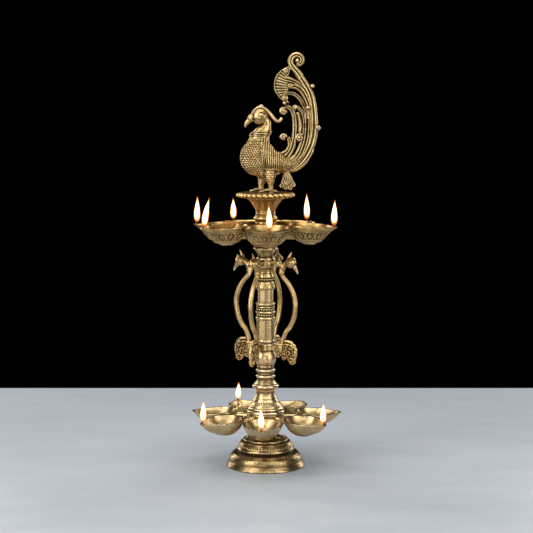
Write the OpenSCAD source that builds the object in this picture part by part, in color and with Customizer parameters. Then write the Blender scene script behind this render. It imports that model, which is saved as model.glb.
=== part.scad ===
// Standing brass oil lamp with two tiers of spouted cups, bird brackets and a peacock finial.
// Origin: on the floor, on the stem's axis. +Z up, front at -Y, the peacock faces -X.

/* [Foot] */
// Radius of the foot's flange
foot_r = 52; // [50:0.5:54]
// Height at which the lower tray sits on the foot's boss
tray_seat_z = 46; // [44:0.5:48]

/* [Lower cups] */
// Radius at which the spout tips end
lower_reach = 103; // [100:0.5:106]
// Radius at which the bowls are centred
lower_bowl_at = 65; // [63:0.5:66]
// Radius of a bowl at its rim
lower_bowl_r = 25.4; // [24:0.2:26]
// Height of the rims
lower_rim_z = 68.5; // [68:0.5:70]
// Direction of the first cup, in degrees from the front
lower_first = -3; // [-20:1:20]

/* [Upper cups] */
// Radius at which the spout tips end
upper_reach = 98; // [96:0.5:100]
// Radius at which the bowls are centred
upper_bowl_at = 60; // [59:0.5:61]
// Radius of a bowl at its rim
upper_bowl_r = 29.6; // [28.5:0.1:29.8]
// Height of the rims
upper_rim_z = 318; // [317:0.5:319]

/* [Cups, both tiers] */
// Thickness of the cast walls
cup_wall = 2.2; // [1.8:0.1:2.6]
// Angle by which the spouts hang down
droop = 3; // [2:0.5:4]

/* [Stem] */
// Width of the lower column across its flats
lower_column_w = 22.4; // [20:0.2:23]
// Width of the upper column across its flats
upper_column_w = 19; // [17:0.2:20]
// Radius of the threaded stud in the foot
stud_r = 5; // [4:0.5:5]
// Radius of the rod through the stem
rod_r = 4; // [3:0.5:4]
// Radial clearance of studs and rods in their holes
running_gap = 0.05; // [0.03:0.01:0.08]

/* [Bird brackets] */
// Direction of the first bracket, in degrees from the front
bracket_first = 63.5; // [45:0.5:80]
// Radius to which the bracket rods bulge
bracket_bulge = 43; // [41:0.5:45]
// Radius of the bracket rods
bracket_rod_r = 3; // [2.6:0.1:3.2]

/* [Finial] */
// Radius of the scalloped plate
plate_r = 38.6; // [37:0.2:40]
// Number of scallops round the plate
scallops = 30; // [24:1:36]
// Thickness of the tail casting
tail_t = 7; // [6:0.5:8]
// Width of the peacock's body
body_w = 36; // [32:1:40]

/* [Wicks] */
// Diameter of a cotton wick
wick_d = 2.8; // [2.2:0.2:3]
// Length of a wick
wick_l = 27; // [24:1:28]

/* [Hidden] */
$fn = 48;

// Colours
BRASS = [0.72, 0.58, 0.34];
DARK_BRASS = [0.56, 0.44, 0.25];
PALE_BRASS = [0.80, 0.68, 0.44];
COTTON = [0.86, 0.82, 0.72];

// Heights at which the stacked pieces of the stem meet
lower_hub_top = 70;
bell_top = 101;
knop_top = 131;
globe_top = 154;
lower_spider_top = 160;
lower_column_top = 193;
beaded_collar_top = 216;
upper_column_top = 233;
upper_collar_top = 267;
upper_spider_top = 270;
tray_seat_top = 288.5;
column_turn = 17;
upper_hub_top = 317;
washer_t = 1;
skirt_gap = 0.2;
pedestal_top = 352.2;
plate_top = 359;
screw_foot = 345;
screw_r = 2.5;
screw_sink = 2.4;
rod_top = 340;
rod_foot = 90;
stud_foot = 25;
stud_top = 85;
end_room = 1.4;

stud_hole = stud_r + running_gap;
rod_hole = rod_r + running_gap;
lower_hub_r = 24;
upper_hub_r = 27;

// Cups: the bowl is a teardrop turned about its spout line, which lies above the rim
lower_axis_up = 5;
upper_axis_up = 6;
cavity_lift = 2;
lower_depth = 19;
upper_depth = 22.5;
lower_step = 360 / 7;
// The upper cups stand unevenly round the hub
upper_at = [3, 71, 143, 208, 256, 304];
cheek_gap = 0.15;
wick_rise = 22;
wick_room = 0.35;
// How far a wick ends inside the spout's tip
wick_back = 2;

// Rivets that hold the brackets
rivet_r = 1.5;
rivet_head_r = 2.3;
rivet_head_h = 1.5;
rivet_at = 17.8;
lug_t = 3;

far = 400;

function arc(c, r, a0, a1, n = 8) =
    [for (i = [0:n]) let(a = a0 + (a1 - a0) * i / n) c + r * [cos(a), sin(a)]];

// A point of the smooth curve through a list of points, and its direction
function spline_at(p, i, t) =
    let(a = p[max(i - 1, 0)], b = p[i], c = p[i + 1], d = p[min(i + 2, len(p) - 1)])
    0.5 * ((2 * b) + (c - a) * t + (2 * a - 5 * b + 4 * c - d) * t * t
    + (3 * b - a - 3 * c + d) * t * t * t);
function spline(p, n = 4) =
    concat([for (i = [0:len(p) - 2], k = [0:n - 1]) spline_at(p, i, k / n)], [p[len(p) - 1]]);
function unit(v) = v / norm(v);
function side(q, i) =
    let(d = unit(q[min(i + 1, len(q) - 1)] - q[max(i - 1, 0)])) [-d[1], d[0]];

// A flat band along a smooth curve, its width running from w0 to w1, with a round end
module band(p, w0, w1, t) {
    q = spline(p);
    n = len(q) - 1;
    w = [for (i = [0:n]) (w0 + (w1 - w0) * i / n) / 2];
    linear_extrude(t) polygon(concat(
        [for (i = [0:n]) q[i] - w[i] * side(q, i)],
        [for (i = [n:-1:0]) q[i] + w[i] * side(q, i)]
    ));
    translate([q[n][0], q[n][1], 0]) cylinder(r = w[n] * 0.98, h = t, $fn = 24);
}

module disc(x, y, r, t) {
    translate([x, y, 0]) cylinder(r = r, h = t, $fn = 32);
}

module ring(x, y, r, w, t) {
    translate([x, y, 0]) difference() {
        cylinder(r = r, h = t, $fn = 32);
        translate([0, 0, -1]) cylinder(r = r - w, h = t + 2, $fn = 32);
    }
}

module turned(points) {
    rotate_extrude($fn = 96) polygon(points);
}

module at_azimuth(a) {
    rotate([0, 0, a]) children();
}

// Puts x along the front radius and y along the height
module in_radial_plane() {
    rotate([90, 0, -90]) children();
}

// ---- Foot ----

module base_foot() color(DARK_BRASS) turned(concat(
    [[foot_r - 5, 0], [foot_r, 0], [foot_r, 1.4], [foot_r - 4.2, 8]],
    arc([foot_r - 14.8, 8.6], 10.2, 4, 82),
    [[foot_r - 15.4, 19.6], [foot_r - 15.4, 20.4]],
    arc([foot_r - 16.6, 23], 2.2, -70, 60, 5),
    [[foot_r - 16.5, 27.5], [foot_r - 19.4, 32]],
    arc([foot_r - 24.2, 34.3], 1.7, -30, 180, 6),
    [[foot_r - 26.4, 33.4], [foot_r - 31, 30.6], [15, 29.4], [13.2, 30.4]],
    [[13.2, tray_seat_z], [stud_hole, tray_seat_z], [stud_hole, 24], [0, 24], [0, 20], [11, 20]],
    [[11, 26], [16, 26], [foot_r - 30, 27.4], [foot_r - 25.5, 30], [foot_r - 21.5, 29]],
    [[foot_r - 19.8, 25.5], [foot_r - 19.6, 19]],
    arc([foot_r - 14.8, 8.6], 6.6, 110, 4),
    [[foot_r - 8.2, 8]]
));

module base_stud() color(BRASS) translate([0, 0, stud_foot])
    cylinder(r = stud_r, h = stud_top - stud_foot);

// ---- Cups ----

// Distance from the bowl's centre to the sharp end of the teardrop whose rim ends at tip
function drop_length(r, tip, up) = let(a = asin(min(0.95, r / (tip + up)))) tip + up / tan(a);

// A teardrop turned about the front radius, its round end of radius r at the origin.
// The cone stands a little inside the tangent, so that it meets the ball at a plain crease.
module teardrop(r, length) {
    a = asin(r / length);
    in = 0.985 * r;
    rotate([90, 0, 0]) rotate_extrude() intersection() {
        union() {
            circle(r, $fn = 64);
            polygon([[0, 0], [in * cos(a), in * sin(a)], [0, length]]);
        }
        translate([0, -far / 2]) square(far);
    }
}

// The space between two upright planes through the lamp's axis, drawn in by t
module wedge(before, after, t) {
    intersection() {
        at_azimuth(after) translate([-far, -far, -far]) cube([far - t, far, 2 * far]);
        at_azimuth(-before) translate([t, -far, -far]) cube([far - t, far, 2 * far]);
    }
}

// Puts a cup's own frame, with its origin at the rim's centre, onto the front radius
module place_cup(at, rim_z) {
    translate([0, -at, rim_z]) rotate([droop, 0, 0]) children();
}

// The straight line that a wick lies on, in the cup's own frame, as a rod of radius r
module wick_line(tip, r, from, length) {
    rise = tan(wick_rise);
    translate([0, -tip, 0.9]) rotate([90 - wick_rise, 0, 0]) translate([0, 0, from])
        cylinder(r = r, h = length, $fn = 24);
}

// One spouted cup on the front radius, with the neck that joins it to its hub
module cup(at, rim_z, bowl_r, reach, up, depth, hub_r, neck_w, before, after) {
    tip = reach - at;
    r = sqrt(bowl_r * bowl_r + up * up);
    inner_r = r - cup_wall;
    difference() {
        intersection() {
            place_cup(at, rim_z) {
                intersection() {
                    translate([0, 0, up]) teardrop(r, drop_length(r, tip, up));
                    translate([-far / 2, -far / 2, -depth]) cube([far, far, depth]);
                }
                translate([-neck_w / 2, 0, -11]) cube([neck_w, at, 8]);
            }
            wedge(before, after, cheek_gap);
        }
        intersection() {
            place_cup(at, rim_z) translate([0, 0, up + cavity_lift])
                teardrop(inner_r, drop_length(inner_r, tip - 3.4, up + cavity_lift));
            wedge(before, after, cheek_gap + cup_wall);
        }
        place_cup(at, rim_z)
            wick_line(tip, wick_d / 2 + wick_room, -wick_l - wick_back, wick_l + wick_back + 12);
        cylinder(r = hub_r, h = far);
    }
}

module lower_cup(i) {
    at_azimuth(lower_first + lower_step * (i - 1)) color(BRASS)
        cup(lower_bowl_at, lower_rim_z, lower_bowl_r, lower_reach, lower_axis_up, lower_depth,
            lower_hub_r, 11, lower_step / 2, lower_step / 2);
}

// Half the angle between one upper cup and the next
function half_gap(i) = ((upper_at[i % 6] - upper_at[i - 1] + 360) % 360) / 2;

module upper_cup(i) {
    before = half_gap(i == 1 ? 6 : i - 1);
    at_azimuth(upper_at[i - 1]) color(BRASS) {
        cup(upper_bowl_at, upper_rim_z, upper_bowl_r, upper_reach, upper_axis_up, upper_depth,
            upper_hub_r, 14, before, half_gap(i));
        place_cup(upper_bowl_at, upper_rim_z) translate([0, 0, -upper_depth - 1.5])
            cylinder(r1 = 8.8, r2 = 9.6, h = 1.5);
    }
}

module wick(at, rim_z, reach) color(COTTON) place_cup(at, rim_z)
    wick_line(reach - at, wick_d / 2, -wick_l - wick_back, wick_l);

module lower_wick(i) {
    at_azimuth(lower_first + lower_step * (i - 1)) wick(lower_bowl_at, lower_rim_z, lower_reach);
}

module upper_wick(i) {
    at_azimuth(upper_at[i - 1]) wick(upper_bowl_at, upper_rim_z, upper_reach);
}

// ---- Hubs and washers ----

module lower_hub() color(DARK_BRASS) turned([
    [stud_hole, tray_seat_z], [13.5, tray_seat_z], [15.5, tray_seat_z + 2], [20, tray_seat_z + 7],
    [23, tray_seat_z + 11], [lower_hub_r, 60], [lower_hub_r, 69.4],
    [23.4, lower_hub_top], [stud_hole, lower_hub_top]
]);

module upper_hub() color(DARK_BRASS) turned([
    [rod_hole, tray_seat_top], [14.5, tray_seat_top], [17.5, 291.5], [24, 298],
    [upper_hub_r, 303], [upper_hub_r, 314.6], [25.5, 316.4], [22, upper_hub_top],
    [rod_hole, upper_hub_top]
]);

module washer(hole, r, z) {
    translate([0, 0, z]) difference() {
        cylinder(r = r, h = washer_t);
        translate([0, 0, -1]) cylinder(r = hole, h = washer_t + 2);
    }
}

module stem_washer() color(DARK_BRASS) washer(stud_hole, 17, lower_hub_top);

module finial_washer() color(DARK_BRASS) washer(rod_hole, 10.5, upper_hub_top);

// ---- Stem ----

module stem_bell() {
    skirt = lower_hub_top + skirt_gap;
    socket = lower_hub_top + washer_t;
    color(PALE_BRASS) turned(concat(
        [[17.5, skirt], [24.6, skirt], [25, skirt + 0.8], [25, 72.8], [23.6, 74.4]],
        arc([22.2, 76.2], 1.5, -60, 60, 4),
        [[21.8, 78.6], [21.2, 80.4], [18.6, 83], [16.8, 85], [16.2, 87.4], [14.2, 90.8]],
        [[12.7, 94], [12.1, 96.8], [12.4, 98.8], [13.2, 100.2], [13.2, bell_top]],
        [[rod_hole, bell_top], [rod_hole, rod_foot - 0.2], [0, rod_foot - 0.2]],
        [[0, stud_top + end_room], [stud_hole, stud_top + end_room], [stud_hole, socket]],
        [[17.5, socket]]
    ));
}

module stem_knop() color(BRASS) turned(concat(
    [[rod_hole, bell_top], [13.2, bell_top], [15.4, 102.6]],
    arc([15.1, 105.6], 2.4, -60, 60, 5),
    [[14.6, 109.2], [12.2, 112], [11.2, 113.6], [10.8, 115.4]],
    arc([10.5, 118.6], 2, -75, 75, 6),
    [[10.8, 121.8], [10.8, 123.6]],
    arc([10.5, 126.6], 2, -75, 75, 6),
    [[10.8, 129.8], [11.2, knop_top], [rod_hole, knop_top]]
));

module stem_globe() color(BRASS) turned(concat(
    [[rod_hole, knop_top], [11.2, knop_top]],
    arc([-2.5, 143], 16.5, -34, 34),
    [[11.3, globe_top], [rod_hole, globe_top]]
));

// A four-armed plate with hollow edges, arms on the brackets' directions. Each edge is hollowed
// by a circle of radius bite, and arm_w is how wide the arms are at their narrowest.
module spider(z0, z1, hub_r, arm_end, bite, arm_w) {
    away = (2 * bite + arm_w) / sqrt(2);
    at_azimuth(bracket_first) translate([0, 0, z0]) difference() {
        union() {
            linear_extrude(z1 - z0) difference() {
                circle(arm_end);
                for (a = [45:90:315]) rotate(a) translate([away, 0]) circle(bite);
            }
            cylinder(r = hub_r, h = z1 - z0);
        }
        translate([0, 0, -1]) cylinder(r = rod_hole, h = z1 - z0 + 2);
        for (a = [0:90:270]) rotate(a) translate([0, -rivet_at, -1])
            cylinder(r = rivet_r, h = z1 - z0 + 2, $fn = 24);
    }
}

module lower_spider() color(DARK_BRASS) spider(globe_top, lower_spider_top, 12.8, 25.6, 13, 7.2);

module upper_spider() color(DARK_BRASS) spider(upper_collar_top, upper_spider_top, 11, 21.6, 11, 6.8);

// An eight-sided shaft, with a round moulding round its foot unless moulding_h is 0
module column(z0, z1, width, moulding_r, moulding_h) {
    difference() {
        union() {
            translate([0, 0, z0]) rotate(column_turn)
                cylinder(d = width / cos(22.5), h = z1 - z0, $fn = 8);
            if (moulding_h > 0) turned([
                [0, z0], [moulding_r, z0], [moulding_r, z0 + 1.4], [moulding_r - 1.6, z0 + 3.4],
                [moulding_r - 1.2, z0 + 5.6], [moulding_r - 2, z0 + moulding_h], [0, z0 + moulding_h]
            ]);
        }
        translate([0, 0, z0 - 1]) cylinder(r = rod_hole, h = z1 - z0 + 2);
    }
}

module lower_column() color(PALE_BRASS)
    column(lower_spider_top, lower_column_top, lower_column_w, 13.4, 7);

module upper_column() color(PALE_BRASS)
    column(beaded_collar_top, upper_column_top, upper_column_w, 0, 0);

module beaded_collar() color(BRASS) turned([
    [rod_hole, lower_column_top], [11.6, lower_column_top], [12.7, 194.2], [12.9, 195.6],
    [12.3, 197], [11.5, 197.8], [11.5, 201.4], [12.7, 202.2], [13, 203.4], [12.5, 204.6],
    [11.5, 205.2], [11.4, 208.6], [12.2, 209.8], [11.4, 211.2], [12.2, 212.8], [12.6, 214.2],
    [12, 215.6], [11, beaded_collar_top], [rod_hole, beaded_collar_top]
]);

module upper_collar() color(BRASS) turned([
    [rod_hole, upper_column_top], [11.2, upper_column_top], [12.4, 234.2], [12.6, 236.2],
    [12, 238], [10.6, 243], [9.5, 244.4], [9.5, 248], [10.4, 249.2], [10, 251.6], [8.9, 254],
    [8.5, 257], [8.9, 260.4], [10.2, 262.4], [10.8, 265], [10.8, upper_collar_top],
    [rod_hole, upper_collar_top]
]);

module tray_seat() color(BRASS) turned([
    [rod_hole, upper_spider_top], [11, upper_spider_top], [11.8, 271.4], [11.8, 274],
    [10.6, 275.4], [10.4, 277.4], [11.4, 280.4], [13.6, 283.4], [15.4, 285], [15.4, 287.4],
    [14.5, tray_seat_top], [rod_hole, tray_seat_top]
]);

module tie_rod() color(BRASS) translate([0, 0, rod_foot]) cylinder(r = rod_r, h = rod_top - rod_foot);

// ---- Bird brackets ----

// A rod between two points of the radial plane, its radius running from r1 to r2
module stick(a, b, r1, r2) {
    d = b - a;
    translate([a[0], a[1], 0]) rotate([0, 0, atan2(d[1], d[0])]) rotate([0, 90, 0])
        cylinder(r1 = r1, r2 = r2, h = norm(d), $fn = 24);
}

// The ball that joins two pieces of rod at a bend
module knuckle(c) {
    translate([c[0], c[1], 0]) sphere(bracket_rod_r + 0.6, $fn = 32);
}

// A rod bent to radius r about c, from direction a0 to a1
module bent_rod(c, r, a0, a1) {
    translate([c[0], c[1], 0]) rotate([0, 0, a0]) rotate_extrude(angle = a1 - a0, $fn = 64)
        translate([r, 0]) circle(bracket_rod_r, $fn = 24);
}

// The tail leaf that hangs outside the lower spider's arm
leaf = [
    [23.4, 160], [28, 168], [34, 167.4], [40, 162.6], [44.4, 155], [45.2, 146], [43.6, 137],
    [40.4, 131.6], [37, 132.6], [34.6, 139], [31, 143.4], [28.4, 139.4], [25, 138.8],
    [21, 142.6], [18.8, 149], [21.6, 152.4], [26.3, 153], [26.3, 160]
];

module bracket(i) {
    bend = 48;
    rod_bend_r = 48.5;
    neck_r = 12;
    rod_c = [bracket_bulge - rod_bend_r, 212];
    low = rod_c + rod_bend_r * [cos(bend), -sin(bend)];
    high = rod_c + rod_bend_r * [cos(bend), sin(bend)];
    neck_c = rod_c + (rod_bend_r + neck_r) * [cos(bend), sin(bend)];
    head = neck_c + [1, neck_r + 0.4];
    foot = [24, lower_spider_top + 2];
    at_azimuth(bracket_first + 90 * (i - 1)) color(DARK_BRASS) difference() {
        in_radial_plane() {
            bent_rod(rod_c, rod_bend_r, 1 - bend, bend - 1);
            knuckle(high);
            bent_rod(neck_c, neck_r, 100, 177 + bend);
            knuckle(low);
            stick(low + [-0.8, -1.2], foot, bracket_rod_r - 0.1, bracket_rod_r);
            translate([head[0], head[1], 0]) sphere(7.2, $fn = 32);
            stick(head + [2, -3.4], head + [10.4, -13], 4.2, 1.2);
            stick(head + [0.4, 5.6], head + [2, 16.6], 3, 0.6);
            translate([0, 0, -2.5]) linear_extrude(5) polygon(leaf);
            translate([15, lower_spider_top, -3.4]) cube([12, lug_t, 6.8]);
            translate([15.2, upper_collar_top - lug_t, -3.2]) cube([10.6, lug_t, 6.4]);
        }
        translate([0, -rivet_at, 150]) cylinder(r = rivet_r, h = 130, $fn = 24);
    }
}

// Four rivets, each through a spider's arm and a bracket's lug
module rivets(z0, z1) {
    for (i = [0:3]) at_azimuth(bracket_first + 90 * i) translate([0, -rivet_at, z0]) {
        translate([0, 0, -rivet_head_h]) cylinder(r = rivet_head_r, h = rivet_head_h, $fn = 24);
        cylinder(r = rivet_r, h = z1 - z0, $fn = 24);
        translate([0, 0, z1 - z0]) cylinder(r = rivet_head_r, h = rivet_head_h, $fn = 24);
    }
}

module lower_rivets() color(BRASS) rivets(globe_top, lower_spider_top + lug_t);

module upper_rivets() color(BRASS) rivets(upper_collar_top - lug_t, upper_spider_top);

// ---- Finial ----

module pedestal() {
    skirt = upper_hub_top + skirt_gap;
    socket = upper_hub_top + washer_t;
    color(BRASS) difference() {
        turned([
            [11, skirt], [13, skirt], [13.4, 319], [13, 322.4], [14.2, 324], [15.2, 325.6],
            [14.4, 327.4], [12.8, 329.6], [12.2, 333], [12.7, 337], [14.5, 341.6], [17.7, 346],
            [21.4, 349.4], [24.7, 351], [24.7, pedestal_top], [0, pedestal_top],
            [0, rod_top + 1], [rod_hole, rod_top + 1], [rod_hole, socket], [11, socket]
        ]);
        translate([0, 0, screw_foot - 0.5]) cylinder(r = screw_r, h = 20, $fn = 32);
    }
}

// Places of the pegs under the peacock's feet
feet = [[8, -9], [-5, 9]];

module finial_plate() {
    lobe = PI * plate_r / scallops * 1.05;
    color(DARK_BRASS) difference() {
        union() {
            translate([0, 0, pedestal_top + 1]) linear_extrude(plate_top - pedestal_top - 2) {
                circle(plate_r - lobe, $fn = 96);
                for (i = [0:scallops - 1]) rotate(i * 360 / scallops)
                    translate([plate_r - lobe, 0]) circle(lobe, $fn = 24);
            }
            translate([0, 0, pedestal_top])
                cylinder(r = plate_r - 2 * lobe, h = plate_top - pedestal_top, $fn = 96);
        }
        translate([0, 0, pedestal_top - 1]) cylinder(r = screw_r, h = 20, $fn = 32);
        translate([0, 0, plate_top - screw_sink]) cylinder(r = 5, h = 10, $fn = 32);
        for (p = feet) translate([p[0], p[1], plate_top - 5]) cylinder(r = 2, h = 10, $fn = 24);
    }
}

module plate_screw() color(BRASS) {
    translate([0, 0, screw_foot])
        cylinder(r = screw_r, h = plate_top - screw_sink - screw_foot, $fn = 32);
    translate([0, 0, plate_top - screw_sink]) cylinder(r = 4.8, h = 2.2, $fn = 32);
}

// A flattened ball at a point of the peacock's own plane
module blob(x, z, rx, rz, ry) {
    translate([x, 0, z]) scale([rx, ry, rz]) sphere(1, $fn = 28);
}

module cone_to(a, b, r1, r2) {
    d = b - a;
    translate(a) rotate([0, acos(d[2] / norm(d)), atan2(d[1], d[0])])
        cylinder(r1 = r1, r2 = r2, h = norm(d), $fn = 24);
}

module peacock_body() {
    half = body_w / 2;
    color(BRASS) {
        difference() {
            union() {
                hull() {
                    blob(-9, 404, 23.6, 24, half);
                    blob(10, 399, 18, 16, half * 0.86);
                    blob(24, 394, 8, 8, half * 0.5);
                }
                hull() {
                    blob(-7, 424, 14.4, 8, half * 0.62);
                    blob(-3.6, 434, 12, 3, half * 0.56);
                }
                hull() {
                    blob(-3.6, 434, 11, 2, half * 0.5);
                    blob(1.6, 443, 7, 3, 6.6);
                }
                hull() {
                    blob(1.6, 443, 7, 3, 6.6);
                    blob(-5, 457, 11.2, 10.4, 8.6);
                }
            }
            translate([12, -tail_t / 2 - 0.02, 360]) cube([60, tail_t + 0.04, 100]);
        }
        cone_to([-13, 0, 456], [-20.4, 0, 449.6], 6.6, 4.4);
        cone_to([-20.4, 0, 449.6], [-26.6, 0, 440.4], 4.4, 1);
        cone_to([-7, 0, 464], [-4, 0, 469.6], 3.4, 1.2);
        cone_to([2, 0, 464], [9, 0, 455.5], 2.8, 2.2);
        cone_to([8.2, 0, 456.4], [16.6, 0, 450], 2.8, 2);
        leg(feet[0], 8, 13);
        leg(feet[1], -5, -18);
    }
}

// One leg from the body's underside to its foot, its three toes and its peg
module leg(p, hip_x, toe_x) {
    y = p[1];
    cone_to([hip_x, y, 388], [p[0], y, 369], 8, 3.2);
    cone_to([p[0], y, 369], [p[0], y, plate_top + 1], 3.2, 3.2);
    for (s = [-1, 0, 1]) translate([p[0], y, plate_top]) rotate([0, 0, 180 + 22 * s])
        translate([0, -1.5, 0]) cube([12, 3, 2.6]);
    translate([p[0], y - 1.5, plate_top]) cube([7, 3, 2.6]);
    translate([p[0], y, plate_top - 4]) cylinder(r = 2, h = 5, $fn = 24);
}

// Everything is drawn in the peacock's own plane and then stood up
module peacock_tail() {
    t = tail_t;
    color(BRASS) rotate([90, 0, 0]) translate([0, 0, -t / 2]) {
        // Root, which fills the slot in the body
        linear_extrude(t) polygon([
            [12.2, 388], [26, 385], [36, 388], [46, 402], [40, 412], [28, 410], [12.2, 404]
        ]);
        // Outer feather, up to the volute at the top
        band([[30, 389], [45, 396], [56.5, 410], [60.5, 430], [61.8, 452], [60.3, 474],
            [55, 492], [45.5, 506.5], [36, 519]], 9, 9, t);
        ring(39.8, 528, 11, 5.4, t);
        disc(42.6, 526.6, 3.6, t);
        disc(41, 519, 4, t);
        // Second and third feathers
        band([[34, 392], [46, 408], [51, 430], [52, 450], [53, 466]], 8, 6.6, t);
        band([[34, 398], [42, 414], [44, 430], [47, 446], [45.5, 458], [40, 467]], 6, 5, t);
        // Front feather and the scroll that it ends in
        band([[34, 404], [42, 420], [43, 438], [38, 454], [31, 463], [24, 466.5]], 6.5, 4, t);
        ring(21, 462.6, 5.4, 2.6, t);
        disc(43.7, 429.4, 6.4, t);
        band([[42, 440], [41.5, 450], [38, 461]], 3, 4, t);
        // Fan with its two curls, and the shafts that carry it
        difference() {
            disc(35.6, 497, 25.3, t);
            translate([0, 0, -1]) disc(48, 497, 24, t + 2);
        }
        disc(26.4, 513.6, 4.2, t);
        disc(24.6, 479.6, 4.4, t);
        disc(23, 471, 3.6, t);
        band([[22, 500], [34, 502], [44, 496], [54, 486]], 5, 5, t);
        band([[22, 494], [34, 490], [44, 482], [52, 468]], 9, 8, t);
        // Knobs on the outer edge
        disc(61, 494.6, 3.2, t);
        disc(66.4, 441, 3.6, t);
        // Curl behind the back
        band([[24, 404], [30, 413], [30, 422], [26, 430], [22, 431]], 6, 4.4, t);
        disc(21.4, 429.6, 4.4, t);
        // Tassel under the tail
        band([[26, 388], [27, 379], [28, 371]], 7, 11, t);
    }
}

// ---- Assembly ----

base_foot();
base_stud();
lower_hub();
lower_cup(1);  // lower_cup_1
lower_cup(2);  // lower_cup_2
lower_cup(3);  // lower_cup_3
lower_cup(4);  // lower_cup_4
lower_cup(5);  // lower_cup_5
lower_cup(6);  // lower_cup_6
lower_cup(7);  // lower_cup_7
lower_wick(1);  // lower_wick_1
lower_wick(2);  // lower_wick_2
lower_wick(5);  // lower_wick_5
lower_wick(7);  // lower_wick_7
stem_washer();
stem_bell();
stem_knop();
stem_globe();
lower_spider();
lower_column();
beaded_collar();
upper_column();
upper_collar();
upper_spider();
tray_seat();
tie_rod();
bracket(1);  // bracket_1
bracket(2);  // bracket_2
bracket(3);  // bracket_3
bracket(4);  // bracket_4
lower_rivets();
upper_rivets();
upper_hub();
upper_cup(1);  // upper_cup_1
upper_cup(2);  // upper_cup_2
upper_cup(3);  // upper_cup_3
upper_cup(4);  // upper_cup_4
upper_cup(5);  // upper_cup_5
upper_cup(6);  // upper_cup_6
upper_wick(1);  // upper_wick_1
upper_wick(2);  // upper_wick_2
upper_wick(3);  // upper_wick_3
upper_wick(4);  // upper_wick_4
upper_wick(5);  // upper_wick_5
upper_wick(6);  // upper_wick_6
finial_washer();
pedestal();
finial_plate();
plate_screw();
peacock_body();
peacock_tail();
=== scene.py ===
import math

import bpy
import numpy as np
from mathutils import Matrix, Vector


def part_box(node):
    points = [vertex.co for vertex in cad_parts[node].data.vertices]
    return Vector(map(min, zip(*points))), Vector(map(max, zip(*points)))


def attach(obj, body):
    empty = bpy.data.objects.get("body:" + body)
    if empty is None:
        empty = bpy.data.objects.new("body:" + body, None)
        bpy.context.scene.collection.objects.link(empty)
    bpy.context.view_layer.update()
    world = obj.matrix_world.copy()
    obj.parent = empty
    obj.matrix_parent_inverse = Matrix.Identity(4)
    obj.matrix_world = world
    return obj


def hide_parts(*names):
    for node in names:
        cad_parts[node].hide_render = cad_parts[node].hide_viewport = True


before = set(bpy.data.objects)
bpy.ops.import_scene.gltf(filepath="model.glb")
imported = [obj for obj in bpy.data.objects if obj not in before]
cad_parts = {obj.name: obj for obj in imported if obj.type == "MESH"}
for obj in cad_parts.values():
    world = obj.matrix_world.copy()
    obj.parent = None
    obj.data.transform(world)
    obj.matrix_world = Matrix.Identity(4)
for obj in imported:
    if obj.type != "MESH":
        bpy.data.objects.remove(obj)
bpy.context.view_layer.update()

# Standing brass oil lamp with two tiers of cups. Lengths are in millimetres until a mesh is made.
MM = 0.001
TAU = 2 * math.pi


def span(node):
    """A CAD node's lowest and highest corners, in millimetres."""
    low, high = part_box(node)
    return np.array(low) / MM, np.array(high) / MM


def bottom(node):
    return span(node)[0][2]


def top(node):
    return span(node)[1][2]


def height(node):
    return top(node) - bottom(node)


# Radii of the bores for the rod and for the foot's stud, with their clearance
ROD_HOLE = 4.06
STUD_HOLE = 5.06
# Angles of the first bracket and of the columns' sides, and how far the rivets are from the axis
BRACKET_AT = 63.5
COLUMN_TURN = 17
RIVET_AT = 17.8


# ---- Surfaces ----

class Shape:
    """Closed surfaces gathered into one mesh. A mark is a number from 0 to 1 kept at each point."""

    def __init__(self):
        self.points, self.quads, self.tris, self.marks = [], [], [], []
        self.total = 0

    def add(self, points, quads, tris=None, mark=0.0):
        points = np.asarray(points, float).reshape(-1, 3)
        tris = np.zeros((0, 3), int) if tris is None else tris
        if volume(points, quads, tris) < 0:
            quads, tris = quads[:, ::-1], tris[:, ::-1]
        self.points.append(points)
        self.quads.append(quads + self.total)
        self.tris.append(tris + self.total)
        self.marks.append(np.broadcast_to(np.asarray(mark, float), (len(points),)))
        self.total += len(points)
        return self

    def arrays(self):
        return (np.concatenate(self.points), np.concatenate(self.quads),
                np.concatenate(self.tris), np.concatenate(self.marks))


def volume(points, quads, tris):
    corners = np.concatenate([quads[:, [0, 1, 2]], quads[:, [0, 2, 3]], tris])
    a, b, c = (points[corners[:, k]] for k in range(3))
    return np.einsum("ij,ij->i", a, np.cross(b, c)).sum() / 6


def tube(rings, loop=False):
    """Faces over rings[i, j], closed round j, and round i too with loop; otherwise its ends are filled."""
    m, n = rings.shape[:2]
    i, j = np.mgrid[0:m if loop else m - 1, 0:n]
    after, k = (i + 1) % m, (j + 1) % n
    quads = np.stack([i * n + j, i * n + k, after * n + k, after * n + j], -1).reshape(-1, 4)
    points = rings.reshape(-1, 3)
    if loop:
        return points, quads, np.zeros((0, 3), int)
    points = np.vstack([points, rings[0].mean(0), rings[-1].mean(0)])
    j = np.arange(n)
    k = (j + 1) % n
    first = np.stack([k, j, np.full(n, m * n)], -1)
    last = np.stack([(m - 1) * n + j, (m - 1) * n + k, np.full(n, m * n + 1)], -1)
    return points, quads, np.vstack([first, last])


def turned(points, angle):
    """Points turned about the lamp's axis by an angle in degrees."""
    c, s = math.cos(math.radians(angle)), math.sin(math.radians(angle))
    return points @ np.array([[c, s, 0], [-s, c, 0], [0, 0, 1]])


def round_axis(r, phi, z):
    """Points at radius r and height z, at an angle phi round the lamp's axis from its front."""
    r, phi, z = np.broadcast_arrays(r, phi, z)
    return np.stack([r * np.sin(phi), -r * np.cos(phi), z], -1)


def raised(outline, height):
    """An outline in (radius, height) moved up."""
    return [(r, z + height) for r, z in outline]


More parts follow.
